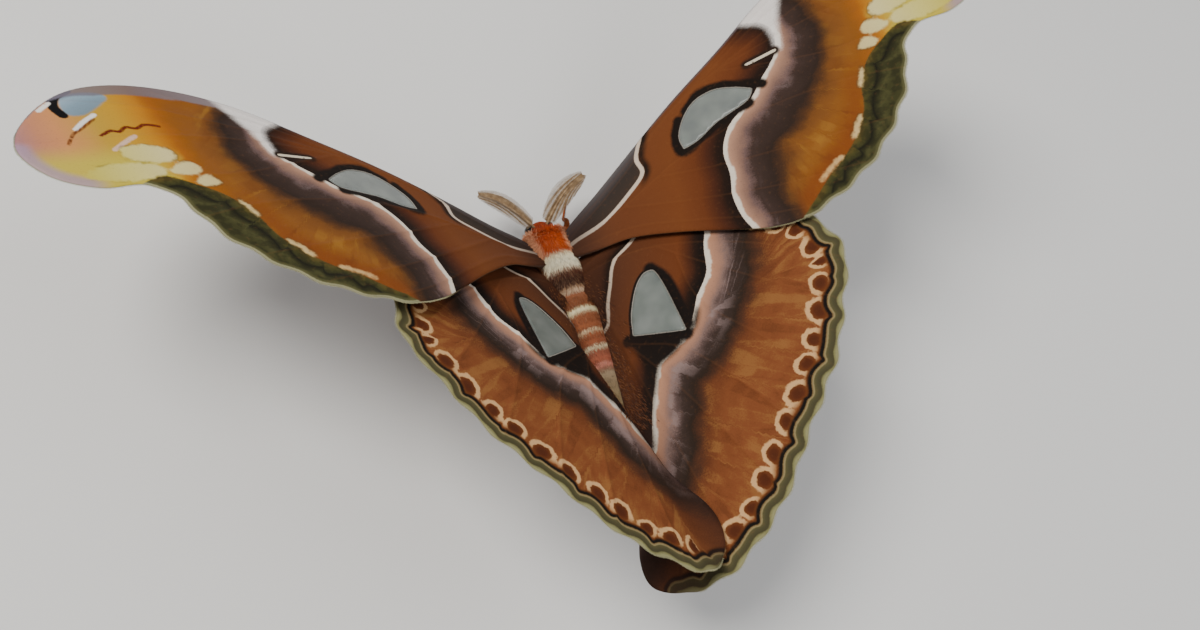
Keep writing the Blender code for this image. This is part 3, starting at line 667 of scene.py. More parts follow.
def wing_mesh(key, finish):
    """One wing with its raised veins, carrying its distances for the paint."""
    wing = WINGS[key]
    flat, triangles = flat_net(wing)
    fields = mark_fields(key, flat)
    # Thickness and ridges run out towards the rim and towards the window
    edge_fade = np.clip(np.minimum(fields["rim"], np.maximum(0.0, fields["pane"])) / RIM_TAPER, 0.0, 1.0)
    vein_fade = np.clip(fields["rim"] / 3.0, 0.25, 1.0)
    pleat = PLEAT_RISE * bell(fields["vein"] / PLEAT_SPREAD) * edge_fade
    ridge = VEIN_RISE * bell(fields["vein"] / VEIN_SPREAD) * edge_fade * vein_fade
    half = HALF_THICKNESS * (0.45 + 0.55 * np.sqrt(edge_fade))
    swell = ROOT_SWELL * bell(np.maximum(0.0, flat[:, 0] - wing["hinge"][0]) / ROOT_REACH)
    middle = wing_surface(key, flat)
    normal = wing_normal(key, flat)
    above = middle + normal * (half + pleat + ridge + swell * wing["swell_up"])[:, None]
    below = middle - normal * (half - pleat + 0.6 * ridge + swell * (1.0 - wing["swell_up"]))[:, None]
    return closed_sheet("scales_", key, flat, triangles, above, below, finish, fields)


# %% [markdown]
# A moth's colour is a dust of tiny overlapping scales, so a band never ends in a ruled line: it thins
# out, scale by scale. The paint copies that. One small class stands for what a shader node gives out
# and does sums with it, and another lays colour on colour. Most ramps are written in millimetres from a
# line. A fine noise is added to the distance first, so that the border breaks up into flecks.

# %% Paint helpers


def add_node(tree, kind, inputs, outlet=0, **settings):
    """Adds a node whose inputs are set or linked, and returns one of its outlets."""
    made = tree.nodes.new(kind)
    for name, value in settings.items():
        setattr(made, name, value)
    for socket, value in inputs.items():
        if isinstance(value, bpy.types.NodeSocket):
            tree.links.new(value, made.inputs[socket])
        else:
            made.inputs[socket].default_value = value
    return made.outputs[outlet]


class Outlet:
    """What one node of a paint gives out, with sums and fades that add further nodes."""

    def __init__(self, paint, socket):
        self.paint = paint
        self.socket = socket

    def maths(self, operation, other=0.0):
        return self.paint.node("ShaderNodeMath", {0: self, 1: other}, operation=operation)

    def __add__(self, other):
        return self.maths("ADD", other)

    def __sub__(self, other):
        return self.maths("SUBTRACT", other)

    def __mul__(self, other):
        return self.maths("MULTIPLY", other)

    def axis(self, name):
        return self.paint.node("ShaderNodeSeparateXYZ", {"Vector": self}, name)

    def noise(self, scale, detail=2.0):
        return self.paint.node("ShaderNodeTexNoise", {"Vector": self, "Scale": scale, "Detail": detail})

    def fade(self, empty, full):
        """0 where the value is at empty, 1 where it is at full, and a soft step between."""
        ends = {"Value": self, "From Min": empty, "From Max": full}
        return self.paint.node("ShaderNodeMapRange", ends, interpolation_type="SMOOTHSTEP")

    def jitter(self, noise, reach):
        """The value moved up and down by the noise."""
        return self + (noise - 0.5) * reach

    def ramp(self, stops):
        """A colour ramp whose stops are (value, colour)."""
        low, high = stops[0][0], stops[-1][0]
        share = self.paint.node("ShaderNodeMapRange", {"Value": self, "From Min": low, "From Max": high})
        made = self.paint.node("ShaderNodeValToRGB", {"Fac": share}, "Color")
        elements = made.socket.node.color_ramp.elements
        while len(elements) < len(stops):
            elements.new(0.5)
        for element, (mark, _) in zip(elements, stops):
            element.position = (mark - low) / (high - low)
        for element, (_, colour) in zip(elements, stops):
            element.color = pigment(colour)
        return made


class Paint:
    """A material under construction, with the colour that is laid so far."""

    def __init__(self, name, roughness, sheen=0.0, specular=0.35):
        self.material = bpy.data.materials.new(name)
        self.material.use_nodes = True
        self.tree = self.material.node_tree
        self.shader = self.tree.nodes["Principled BSDF"]
        self.shader.inputs["Roughness"].default_value = roughness
        self.shader.inputs["Sheen Weight"].default_value = sheen
        self.shader.inputs["Sheen Roughness"].default_value = 0.45
        self.shader.inputs["Specular IOR Level"].default_value = specular

    def node(self, kind, inputs, outlet=0, **settings):
        """Adds a node. Each input is a number, another outlet, or the six digits of a colour."""
        given = {}
        for socket, value in inputs.items():
            value = pigment(value) if isinstance(value, str) else value
            given[socket] = getattr(value, "socket", value)
        return Outlet(self, add_node(self.tree, kind, given, outlet, **settings))

    def field(self, name, outlet="Fac"):
        """A number that the mesh keeps for each point, or a vector."""
        return self.node("ShaderNodeAttribute", {}, outlet, attribute_name=name)

    def place(self):
        return self.node("ShaderNodeTexCoord", {}, "Object")

    def mix(self, amount, under, over):
        return self.node("ShaderNodeMix", {0: amount, 6: under, 7: over}, 2, data_type="RGBA")

    def lay(self, tint, amount):
        """Lays a tint over the colour so far, by the amount."""
        self.colour = self.mix(amount, self.colour, tint)

    def bump(self, height, distance, strength):
        """Relief from a height, as deep as the distance in metres."""
        relief = self.node("ShaderNodeBump", {"Height": height, "Distance": distance, "Strength": strength})
        self.tree.links.new(relief.socket, self.shader.inputs["Normal"])

    def finish(self, colour=None):
        """The material, in the colour that is laid or in the one that is given."""
        self.tree.links.new((colour or self.colour).socket, self.shader.inputs["Base Color"])
        return self.material


# %% [markdown]
# Both kinds of wing share some layers. They have flecks and clouds, bands on both sides of the white
# line, and light and dark scales over all of it.

# %% Shared layers of the wings


class WingPaint(Paint):
    """The paint of one kind of wing, with its fine flecks and wide clouds."""

    def __init__(self, kind, cloud_scale):
        super().__init__(kind + "_scales", 0.82, 0.0, 0.14)
        self.flat = self.field("flat", "Vector")
        self.out = self.flat.axis("X")
        self.flecks = self.flat.noise(2.6, 3.0)
        self.clouds = self.flat.noise(cloud_scale, 3.0)

    def rough(self, name, reach):
        """A distance whose border breaks up into flecks."""
        return self.field(name).jitter(self.flecks, reach)

    def rays(self, along, across, value, detail):
        """A noise drawn out across the margin, in the direction of the veins."""
        stretched = {"X": self.field("run") * along, "Y": value * across}
        return self.node("ShaderNodeCombineXYZ", stretched).noise(1.0, detail)

    def two_sides(self, crisp, loose, start, inside, outside):
        """The bands on both sides of the outer line: sharp near it, looser further out."""
        band = self.field("band")
        spread = self.node("ShaderNodeMix", {0: band.fade(start, 6.0), 2: band, 3: loose})
        near = self.rough("outer_line", 1.2)
        self.colour = self.mix(crisp.fade(-0.12, 0.12), near.ramp(inside), spread.ramp(outside))

    def white_line(self, crisp, narrow, gain):
        """The white line itself, which is wider where the clouds are light."""
        wide = self.clouds.fade(0.40, 0.62) * gain + narrow
        self.lay("e9ddcb", crisp.fade(-0.15, 0.1) * (crisp - wide).fade(0.35, -0.35))

    def wing_finish(self):
        """Light and dark scales over the whole wing, veins, painted shade at the root, pale underside and
        fine relief.
        """
        self.lay("1c110b", self.flecks.fade(0.58, 0.82) * 0.34)
        self.lay("b08050", self.flecks.fade(0.32, 0.12) * 0.04)
        self.lay("94633c", self.flat.noise(0.9, 3.0).fade(0.54, 0.80) * 0.10)
        self.lay("9a6236", self.field("vein").fade(0.42, 0.12) * 0.05)
        # Darker towards the root: painted shade where the wing meets the body
        self.lay("2c1810", self.out.fade(19.0, 5.0) * 0.70)
        self.lay("8d7568", self.field("under") * 0.38)
        rows = self.node("ShaderNodeTexVoronoi", {"Vector": self.flat, "Scale": 4.6}, "Distance")
        self.bump(rows, 0.00004, 0.5)
        return self.finish()


# %% [markdown]
# The forewing, from the body outwards: a rust-brown field that darkens to black against a white line,
# a salmon and mauve dusting outside that line, a broad dark brown band, and then an ochre field that
# turns to rust before an olive border. The tip of the wing carries its own figure: a grey-blue patch
# with a black crescent, a thin red zigzag, cream lobes and a peach point.

# %% Forewing paint
FORE_INSIDE = [
    (-46, "5c3a28"), (-30, "683a20"), (-14, "723f1e"), (-8, "663519"), (-4.6, "482413"),
    (-1.8, "24140b"), (0, "190e08"),
]
FORE_OUTSIDE = [
    (0, "c7a18a"), (1.4, "b4886f"), (2.8, "93705f"), (4.4, "6a534e"), (6, "3f2f29"), (10.8, "2f221b"),
    (12.8, "4c301b"), (15, "74471e"), (19, "865221"), (27, "8a521f"), (36, "844518"),
]
FORE_TIP = [
    (88, "945418"), (95, "a86016"), (99, "be7e1e"), (104, "c4942a"), (109, "bd9636"), (113, "c8924e"),
    (117, "cf8c5a"), (121, "c28262"), (126, "a0747c"),
]
# How far the grey strip reaches back from the leading edge: the lighter, the farther
COSTAL_REACH = [
    (28, "404040"), (40, "505050"), (72, "505050"), (79, "a8a8a8"), (90, "c6c6c6"), (106, "b0b0b0"),
    (116, "1c1c1c"),
]
COSTAL_GREY = [
    (28, "5f5352"), (60, "5f5456"), (76, "8b8084"), (86, "7f767a"), (98, "6a6367"), (116, "777180"),
]
COSTAL_ROOT = [(0, "625d5d"), (1.6, "4d4645"), (4, "362e29"), (8, "3f3229")]
BORDER_PAINT = [
    (-10, "3f3e21"), (-7, "3a391e"), (-5, "474627"), (-3.6, "2d2c17"), (-2.9, "18170c"),
    (-2.2, "38371c"), (-1, "47431f"), (0, "594b22"),
]
EYE_BLUE = [(0, "5d6d7a"), (2, "93aab9"), (4.5, "7e95a3"), (8, "74858f")]
LOBE_CREAM = [(68, "cc9f68"), (90, "d6bd84"), (99, "dccf92"), (108, "d6ca74"), (118, "c6b545")]
# The strokes of the tip, each with half its width and its colour
TIP_STROKES = {
    "crescent": (1.05, "0b0a0c"),
    "white_ticks": (0.52, "f3eee6"),
    "brown_ticks": (0.34, "6e3a18"),
    "zigzag": (0.42, "641a0c"),
    "pink_marks": (0.5, "dcb8a0"),
}


def forewing_field(paint):
    """The bands beside the white line, and the streaked ochre field."""
    band = paint.field("band")
    loose = band.jitter(paint.flecks, 2.2).jitter(paint.clouds, 5.6)
    crisp = paint.rough("outer_line", 0.3)
    paint.two_sides(crisp, loose, 1.0, FORE_INSIDE, FORE_OUTSIDE)
    dust = paint.rays(1.1, 0.22, band, 3.0).fade(0.48, 0.68) * loose.fade(7.6, 4.8) * band.fade(2.6, 4.6)
    paint.lay("84716f", dust * 0.42)
    paint.white_line(crisp, 0.85, 0.55)
    beyond = band.fade(12.0, 17.0) * paint.out.fade(93.0, 83.0)
    streaks = paint.rays(0.62, 0.09, paint.field("edge"), 3.0)
    paint.lay("a8782e", beyond * streaks.fade(0.50, 0.74) * 0.62)
    paint.lay("623212", beyond * streaks.fade(0.48, 0.30) * 0.65)
    paint.lay("7e3f15", paint.field("border").jitter(paint.clouds, 4.0).fade(6.5, 1.5) * beyond * 0.75)


# %% [markdown]
# The figures at the tip and along the front edge lie over the field, in the order in which a painter
# would add them. The border comes after the tip, and the lobes lie on the border.

# %% Tip, border and front of the forewing


def forewing_tip(paint):
    """The figure at the tip of the wing."""
    tip_start = paint.out.jitter(paint.clouds, 9.0)
    paint.lay(paint.out.jitter(paint.flecks, 3.0).ramp(FORE_TIP), tip_start.fade(90.0, 99.0))
    paint.lay("c6b545", paint.flat.axis("Y").fade(42.0, 35.0) * tip_start.fade(96.0, 103.0) * 0.9)
    paint.lay("a58c9f", paint.field("edge").fade(3.4, 1.2) * paint.out.fade(112.0, 117.0) * 0.8)
    paint.lay(paint.field("leading").ramp(EYE_BLUE), paint.rough("eye_patch", 0.5).fade(0.5, -0.4))
    for name, (half_width, tint) in TIP_STROKES.items():
        paint.lay(tint, paint.rough(name, 0.35).fade(half_width + 0.22, half_width - 0.22))


def forewing_border(paint):
    """The olive border with its black wavy line, and the cream lobes on it."""
    wave = (paint.field("run") * 0.95).maths("SINE")
    olive = (paint.field("border") + wave * 0.75).jitter(paint.flecks, 0.5).ramp(BORDER_PAINT)
    olive = paint.mix(paint.flat.noise(0.42).fade(0.42, 0.60) * 0.5, olive, "201f10")
    olive = paint.mix(paint.field("edge").fade(1.4, 0.7) * 0.6, olive, "5f5c3a")
    olive = paint.mix(paint.rough("edge", 0.3).fade(0.6, 0.3), olive, "8f8c6a")
    paint.lay(olive, paint.rough("border", 0.6).fade(0.25, -0.25))
    lobes = paint.rough("lobes", 0.4).jitter(paint.flat.noise(0.7), 1.5)
    paint.lay("4c3a18", lobes.fade(0.9, 0.2) * paint.clouds.fade(0.44, 0.60) * 0.6)
    paint.lay(paint.out.ramp(LOBE_CREAM), lobes.fade(0.55, -0.45))


def forewing_front(paint):
    """The grey strip along the leading edge, the white flare, and the dark root with its white line."""
    near = paint.rough("leading", 0.7) - paint.out.ramp(COSTAL_REACH) * 9.0
    paint.lay(paint.out.ramp(COSTAL_GREY), near.fade(0.4, -0.4) * 0.85)
    paint.lay("f3ece6", paint.rough("flare", 1.4).fade(1.2, -1.6) * 0.96)
    inner = paint.rough("inner_line", 0.3)
    paint.lay(paint.field("leading").ramp(COSTAL_ROOT), inner.fade(0.15, -0.15))
    paint.lay("21150d", inner.fade(3.2, 1.2) * inner.fade(-0.4, 0.2) * paint.out.fade(27.0, 31.0))
    paint.lay("d9c6b2", inner.fade(0.75, 0.4) * inner.fade(-0.75, -0.4))


def paint_forewing():
    """The scales of the forewing."""
    paint = WingPaint("forewing", 0.17)
    forewing_field(paint)
    forewing_tip(paint)
    forewing_border(paint)
    forewing_front(paint)
    paint.lay("24160d", paint.field("slit").fade(1.9, 0.8))
    paint.lay("ddd0b8", paint.rough("slit", 0.2).fade(0.56, 0.34))
    pane = paint.rough("pane", 0.3)
    paint.lay("170e08", paint.rough("shadow", 0.6).jitter(paint.clouds, 1.6).fade(1.9, 0.8))
    paint.lay("150d08", pane.fade(0.9, 0.5))
    paint.lay("9a948a", pane.fade(0.32, 0.12))
    return paint.wing_finish()


# %% [markdown]
# The hindwing repeats the white line and its pink dusting, then a smoky band, an orange field, a chain
# of dark red spots ringed in cream, a black wavy line and an olive border. The spots stand at even
# steps along the margin, and each differs a little in size and place.

# %% Hindwing paint
HIND_INSIDE = [
    (-30, "4e3020"), (-14, "63361d"), (-7, "6a381b"), (-4.4, "4c2714"), (-2.6, "27160d"),
    (-1.2, "170e09"), (0, "140c08"),
]
HIND_OUTSIDE = [
    (0, "c9a188"), (1.4, "bd8a6c"), (3, "a87c66"), (4.6, "80675f"), (6.2, "56443f"), (7.6, "3b2d27"),
    (10.6, "2c2018"), (12.6, "4a2c1c"), (14.6, "683920"), (18, "7b4526"), (26, "804828"), (40, "723d20"),
]
CHAIN_PAINT = [(0, "4e2612"), (0.4, "552914"), (0.75, "6a3819")]
HIND_EDGE = [
    (0, "8f8b62"), (0.55, "7d794f"), (0.9, "45402a"), (1.7, "4c4830"), (2.3, "585234"), (2.6, "93845c"),
    (2.9, "7f6843"), (3.15, "120d08"), (3.7, "120d08"), (4.1, "5c3216"), (5.2, "7a4318"),
]
HIND_ROOT = [(-16, "6b4128"), (-8, "60361d"), (-3, "482817"), (-0.9, "1d120a"), (0, "170e08")]


def hindwing_field(paint):
    """The bands beside the white line, the streaked orange field, and the dark field at the window."""
    outer = paint.field("outer_line")
    loose = outer.jitter(paint.flecks, 2.6).jitter(paint.clouds, 4.4)
    crisp = paint.rough("outer_line", 0.35)
    paint.two_sides(crisp, loose, 1.4, HIND_INSIDE, HIND_OUTSIDE)
    grain = paint.rays(0.8, 0.13, outer, 4.0).jitter(paint.flecks, 0.3)
    paint.lay("a08a86", grain.fade(0.50, 0.62) * loose.fade(11.0, 5.6) * outer.fade(3.2, 4.8) * 0.46)
    beyond = loose.fade(12.5, 16.0)
    paint.lay("a4753f", beyond * grain.fade(0.46, 0.66) * 0.42)
    paint.lay("542b14", beyond * grain.fade(0.46, 0.30) * 0.45)
    paint.white_line(crisp, 0.9, 0.6)
    paint.lay("18100b", paint.rough("dark_field", 1.2).fade(1.6, -0.6))


def hindwing_margin(paint):
    """The chain of spots in their loops, the wavy line and the olive border."""
    edge = paint.field("edge")
    chain = paint.rough("chain", 0.16).jitter(paint.flat.noise(0.55), 0.55)
    near = edge.fade(11.0, 9.4) * paint.field("outer_line").fade(5.0, 9.0)
    paint.lay(paint.field("chain").ramp(CHAIN_PAINT), chain.fade(0.94, 0.80) * near)
    arch = edge.jitter(paint.clouds, 1.2).fade(3.6, 5.6)
    paint.lay("d8ac79", chain.fade(0.70, 0.84) * chain.fade(1.24, 1.08) * near * arch * 0.95)
    wave = (paint.field("run") * 0.94).maths("SINE")
    wavy = (edge + wave * 0.38).jitter(paint.flecks, 0.35)
    paint.lay(wavy.ramp(HIND_EDGE), wavy.fade(4.7, 4.0))


def paint_hindwing():
    """The scales of the hindwing."""
    paint = WingPaint("hindwing", 0.2)
    hindwing_field(paint)
    hindwing_margin(paint)
    inner = paint.rough("inner_line", 0.3)
    paint.lay(inner.ramp(HIND_ROOT), inner.fade(0.15, -0.15))
    paint.lay("d4bfa8", inner.fade(0.8, 0.45) * inner.fade(-0.5, -0.1))
    pane = paint.rough("pane", 0.3)
    paint.lay("150d09", paint.rough("shadow", 0.6).fade(2.3, 1.1))
    paint.lay("120b07", pane.fade(1.1, 0.6))
    paint.lay("9a948a", pane.fade(0.32, 0.12))
    return paint.wing_finish()


# %% [markdown]
# The four windows of the moth are bare membrane, without scales, so light passes through them. Each
# pane is its own thin sheet that closes the opening in the wing.

# %% Window panes
PANE_HALF = 0.06
PANE_GROW = 0.12
PANE_CELL = 1.0
PANE_RIM_STEP = 0.8
PANE_CLEAR = 0.45


def paint_pane():
    """Bare membrane: pale, a little glossy, and half clear."""
    paint = Paint("window_membrane", 0.32, 0.0, 0.5)
    paint.shader.inputs["Alpha"].default_value = 0.70
    flat = paint.field("flat", "Vector")
    paint.bump(flat.noise(4.0), 0.00002, 0.2)
    return paint.finish(flat.noise(0.12).ramp([(0.3, "666e6a"), (0.5, "788079"), (0.7, "8a908a")]))


def pane_mesh(key, finish):
    """The sheet in the window of one wing."""
    loop = smooth_line(WINGS[key]["window"], PANE_RIM_STEP, closed=True)
    loop = loop + unit(loop - loop.mean(axis=0)) * PANE_GROW
    ends = zip(loop.min(axis=0), loop.max(axis=0))
    columns, rows = (np.arange(low, high, PANE_CELL) for low, high in ends)
    field = np.array([(u, v) for v in rows for u in columns])
    field = thinned(field[is_inside(field, loop)], loop, PANE_CLEAR)
    flat, triangles = triangulated(np.vstack([loop, field]), len(loop))
    middle = wing_surface(key, flat)
    offset = wing_normal(key, flat) * PANE_HALF
    return closed_sheet("pane_", key, flat, triangles, middle + offset, middle - offset, finish, {})


# %% Build the wings
fore_paint = paint_forewing()
hind_paint = paint_hindwing()
pane_paint = paint_pane()
for key in WINGS:
    wing = wing_mesh(key, fore_paint if key[0] == "forewing" else hind_paint)
    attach(wing, "root")
    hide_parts("_".join(key))
    pane = pane_mesh(key, pane_paint)
    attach(pane, "root")


# %% [markdown]
# The body is one soft shape under its coat. Head, thorax and abdomen are sections along one line, as
# the solids are, drawn in by the depth of the fur that grows on them. The legs are tubes rooted in the
# thorax. A fine remesh then makes one skin of them all, without a seam where a leg leaves the chest.

# %% Body sections
SKIN_STEP = 0.3
SKIN_SIDES = 64
SKIN_VOXEL = 0.23
COAT = path(-22.4, 0.3, -18.4, 0.5, -16, 0.85, -3, 0.8, 1.5, 0.4, 34, 0.35, 37.4, 0.3)
SEGMENT = 4.5
LEG_COAT = 0.14
LEGS = {
    "front": path(
        1.8, -13, -3.6, 1, 4.6, -15.6, -5.6, 1.05, 8, -19, -3.6, 0.95, 9.4, -21.2, -3.9, 0.8,
        10.2, -22.8, -6.4, 0.75, 11, -24.2, -8.9, 0.55, 11.8, -25.6, -9.6, 0.4,
        14.2, -29.4, -9.66, 0.34, wide=4,
    ),
    "middle": path(
        2.4, -8.5, -3.8, 1.1, 6.2, -8.8, -5.8, 1.1, 10.6, -9.4, -3.6, 1, 12.6, -9.6, -3.9, 0.85,
        13.8, -9.6, -6.4, 0.75, 14.8, -9.4, -8.9, 0.55, 16, -9.4, -9.6, 0.4, 20.6, -10.4, -9.66, 0.34,
        wide=4,
    ),
    "hind": path(
        2.2, -3.6, -3.4, 1.1, 5.8, -1.6, -5.6, 1.1, 9.6, 2.2, -3.9, 1, 11.2, 4, -4.2, 0.85,
        12.2, 5.8, -6.6, 0.75, 13, 7.6, -8.9, 0.55, 13.8, 9.2, -9.6, 0.4, 15.8, 13.6, -9.66, 0.34,
        wide=4,
    ),
}
ALL_LEGS = [leg * (hand, 1.0, 1.0, 1.0) for leg in LEGS.values() for hand in SIDES.values()]
PALP = path(0.8, -20.2, -2.4, 0.62, 0.85, -21.6, -2.7, 0.5, 0.9, -22.5, -2.85, 0.3, wide=4)


def solid_profile():
    """Half width, half height and centre height of the solids along the body."""
    y = np.arange(-22.1, 37.3, 0.1)
    head = np.clip((-17.9 - y) / 4.2, 0.0, 1.0)
    dome = np.sqrt(1.0 - (0.97 * head) ** 3)
    chest = np.clip((y + 17.6) / 18.6, 0.0, 1.0)
    belly = np.sin(math.pi * (0.24 + 0.53 * chest)) ** 0.62
    tail = np.clip((y - 1.3) / 36.0, 0.0, 1.0)
    taper = np.minimum(1.0, 0.90 + 1.6 * tail) * (1.0 - 0.34 * tail**1.15)
    body = taper * np.sqrt(np.maximum(0.0, 1.0 - (1.005 * tail) ** 3.4) + 0.02)
    bulge = 0.945 + 0.055 * np.sin(math.pi * (((y - 1.3) / SEGMENT) % 1.0)) ** 0.7
    zones = [y < -17.75, y < 1.15]
    width = np.select(zones, [3.15 * dome, 6.5 * belly], 5.9 * body * bulge)
    height = np.select(zones, [2.75 * dome, 5.7 * belly**0.9], 5.0 * body * bulge)
    centre = np.select(zones, [-0.9 - 0.5 * head, -0.6 + 0.2 * chest], -0.4 - 1.9 * tail**2)
    return y, width, height, centre


def skin_profile():
    """The same sections drawn in by the coat and eased where the parts meet."""
    y, width, height, centre = solid_profile()
    coat = np.interp(y, *COAT.T)
    window = np.hanning(17)
    window /= window.sum()
    parts = (width - coat, height - coat, centre)
    eased = [np.convolve(np.pad(part, 8, mode="edge"), window, "valid") for part in parts]
    ends = np.minimum(1.0, np.sqrt(np.clip((y - y[0]) / 0.8, 0.0, 1.0) + 0.02))
    return y, eased[0] * ends, eased[1] * ends, eased[2]


PROFILE = skin_profile()


def section_at(y):
    """Half width, half height and centre height of the skin at places along the body."""
    return [np.interp(y, PROFILE[0], values) for values in PROFILE[1:]]


# %% [markdown]
# Trunk, legs and palps are all stacks of rings. The same function gives them their faces.

# %% Rings and tubes
LEG_SIDES = 14
PALP_SIDES = 12


def rings_to_faces(rows, sides):
    """Faces of a closed body made of rows of points, each row a ring, with flat ends."""
    last = (rows - 1) * sides
    faces = []
    for start in range(0, last, sides):
        for side in range(sides):
            a, b = start + side, start + (side + 1) % sides
            faces.append((a, b, b + sides, a + sides))
    return [*faces, tuple(range(sides))[::-1], tuple(range(last, last + sides))]


def ring_turns(sides):
    """The cosines and sines of one turn."""
    turns = np.arange(sides) * 2.0 * math.pi / sides
    return np.cos(turns), np.sin(turns)


def tube_between(points, sides):
    """Points and faces of a closed round tube through (x, y, z, radius)."""
    line = smooth_line(points, 0.5)
    ahead = unit(np.gradient(line[:, :3], axis=0))
    across = unit(np.cross(ahead, (0.0, 0.0, 1.0)))
    upward = np.cross(across, ahead)
    c, s = ring_turns(sides)
    ring = across[:, None] * c[None, :, None] + upward[:, None] * s[None, :, None]
    places = (line[:, None, :3] + ring * line[:, None, 3:]).reshape(-1, 3)
    return places, rings_to_faces(len(line), sides)


def body_mesh():
    """Points and faces of the trunk, from the face to the tip of the abdomen."""
    y = np.arange(PROFILE[0][0], PROFILE[0][-1], SKIN_STEP)
    width, height, centre = section_at(y)
    flank, back = (np.sign(part) * np.abs(part) ** 0.94 for part in ring_turns(SKIN_SIDES))
    x = width[:, None] * flank
    z = centre[:, None] + height[:, None] * back
    places = np.stack([x, np.repeat(y[:, None], SKIN_SIDES, axis=1), z], axis=2).reshape(-1, 3)
    return places, rings_to_faces(len(y), SKIN_SIDES)


def beside_body(places):
    """How far points stand out from the trunk, in millimetres: legs and palps are well above zero."""
    width, height, centre = section_at(places[:, 1])
    reach = np.hypot(places[:, 0] / width, (places[:, 2] - centre) / height)
    beyond = np.maximum(0.0, np.maximum(PROFILE[0][0] - places[:, 1], places[:, 1] - PROFILE[0][-1]))
    return (reach - 1.0) * np.minimum(width, height) + beyond


# %% [markdown]
# The shapes overlap where they meet. Blender's voxel remesh wraps one surface around them, a light
# smoothing softens the joins, and the result is kept as a plain mesh.

# %% One skin


def joined(shapes):
    """Several shapes, each its points and its faces, as one."""
    faces = []
    start = 0
    for places, its_faces in shapes:
        faces += [tuple(index + start for index in face) for face in its_faces]
        start += len(places)
    return np.vstack([places for places, _ in shapes]), faces


def evaluated(thing):
    """The mesh that an object's modifiers make. The object itself is removed."""
    mesh = bpy.data.meshes.new_from_object(thing.evaluated_get(bpy.context.evaluated_depsgraph_get()))
    bpy.data.objects.remove(thing)
    return mesh


def points_of(mesh):
    """The places of a mesh's points."""
    spots = np.empty(len(mesh.vertices) * 3)
    mesh.vertices.foreach_get("co", spots)
    return spots.reshape(-1, 3)


def build_skin(finish):
    """One skin of the trunk, the six legs and the two palps."""
    shapes = [body_mesh()]
    shapes += [tube_between(leg * (1.0, 1.0, 1.0, 1.0 - LEG_COAT), LEG_SIDES) for leg in ALL_LEGS]
    shapes += [tube_between(PALP * (hand, 1.0, 1.0, 1.0), PALP_SIDES) for hand in SIDES.values()]
    places, faces = joined(shapes)
    mesh = bpy.data.meshes.new("rough_skin")
    mesh.from_pydata(places.tolist(), [], faces)
    rough = placed("rough_skin", mesh)
    remesh = rough.modifiers.new("fuse", "REMESH")
    remesh.mode = "VOXEL"
    remesh.voxel_size = SKIN_VOXEL
    smooth = rough.modifiers.new("soften", "SMOOTH")
    smooth.factor = 0.5
    smooth.iterations = 3
    rough.modifiers.new("triangles", "TRIANGULATE")
    fused = evaluated(rough)
    spots = points_of(fused)
    corners = np.empty(len(fused.polygons) * 3, dtype=np.int64)
    fused.loops.foreach_get("vertex_index", corners)
    corners = corners.reshape(-1, 3)
    skin = mesh_object("moth_skin", to_metres(spots), corners, finish)
    write_fields(skin, {"spot": spots, "aside": beside_body(spots)})
    print("the skin has", len(corners), "triangles")
    return skin, spots, corners


# %% [markdown]
# The colours of the body run in belts. The front of the thorax is orange-red with paler shoulders, its
# rear carries a cream patch, and a dark brown belt follows. The abdomen is red-brown with thin cream
# belts and ends in grey-tan. Skin and fur are painted by the same nodes. Each tuft keeps the place of
# its root, so it takes the colour of the skin that it grows from.

# %% Body paint
BELTS = [
    (-26, "9c3409"), (-21.4, "a83a0a"), (-18.2, "8f2c07"), (-17, "b8430d"), (-13, "c24d12"),
    (-11.6, "b4481a"), (-10.7, "fdeec4"), (-9, "fff8dc"), (-7, "fff4d0"), (-6.3, "b0917a"),
    (-5.7, "5c3324"), (-3.4, "3f2418"), (-1.8, "4a2a1e"), (-1.2, "a8805f"), (-0.6, "dcbd9c"),
    (0.1, "dcbd9c"), (0.7, "935a3e"), (5.1, "8c5233"), (5.6, "dacb9e"), (6.7, "dfd0a6"),
    (7.3, "96583a"), (11.5, "8c5032"), (11.9, "cfb08a"), (12.4, "d0b38c"), (12.9, "945436"),
    (15.9, "8e5036"), (16.3, "d3bf9a"), (17, "d3bf9a"), (17.5, "965640"), (20.6, "a25a42"),
]
TAIL_BELTS = [
    (20.6, "a25a42"), (21.1, "d08c7a"), (21.9, "c67e6a"), (22.5, "8f6650"), (23.6, "a08a6e"),
    (30, "98835f"), (38, "8e7858"),
]


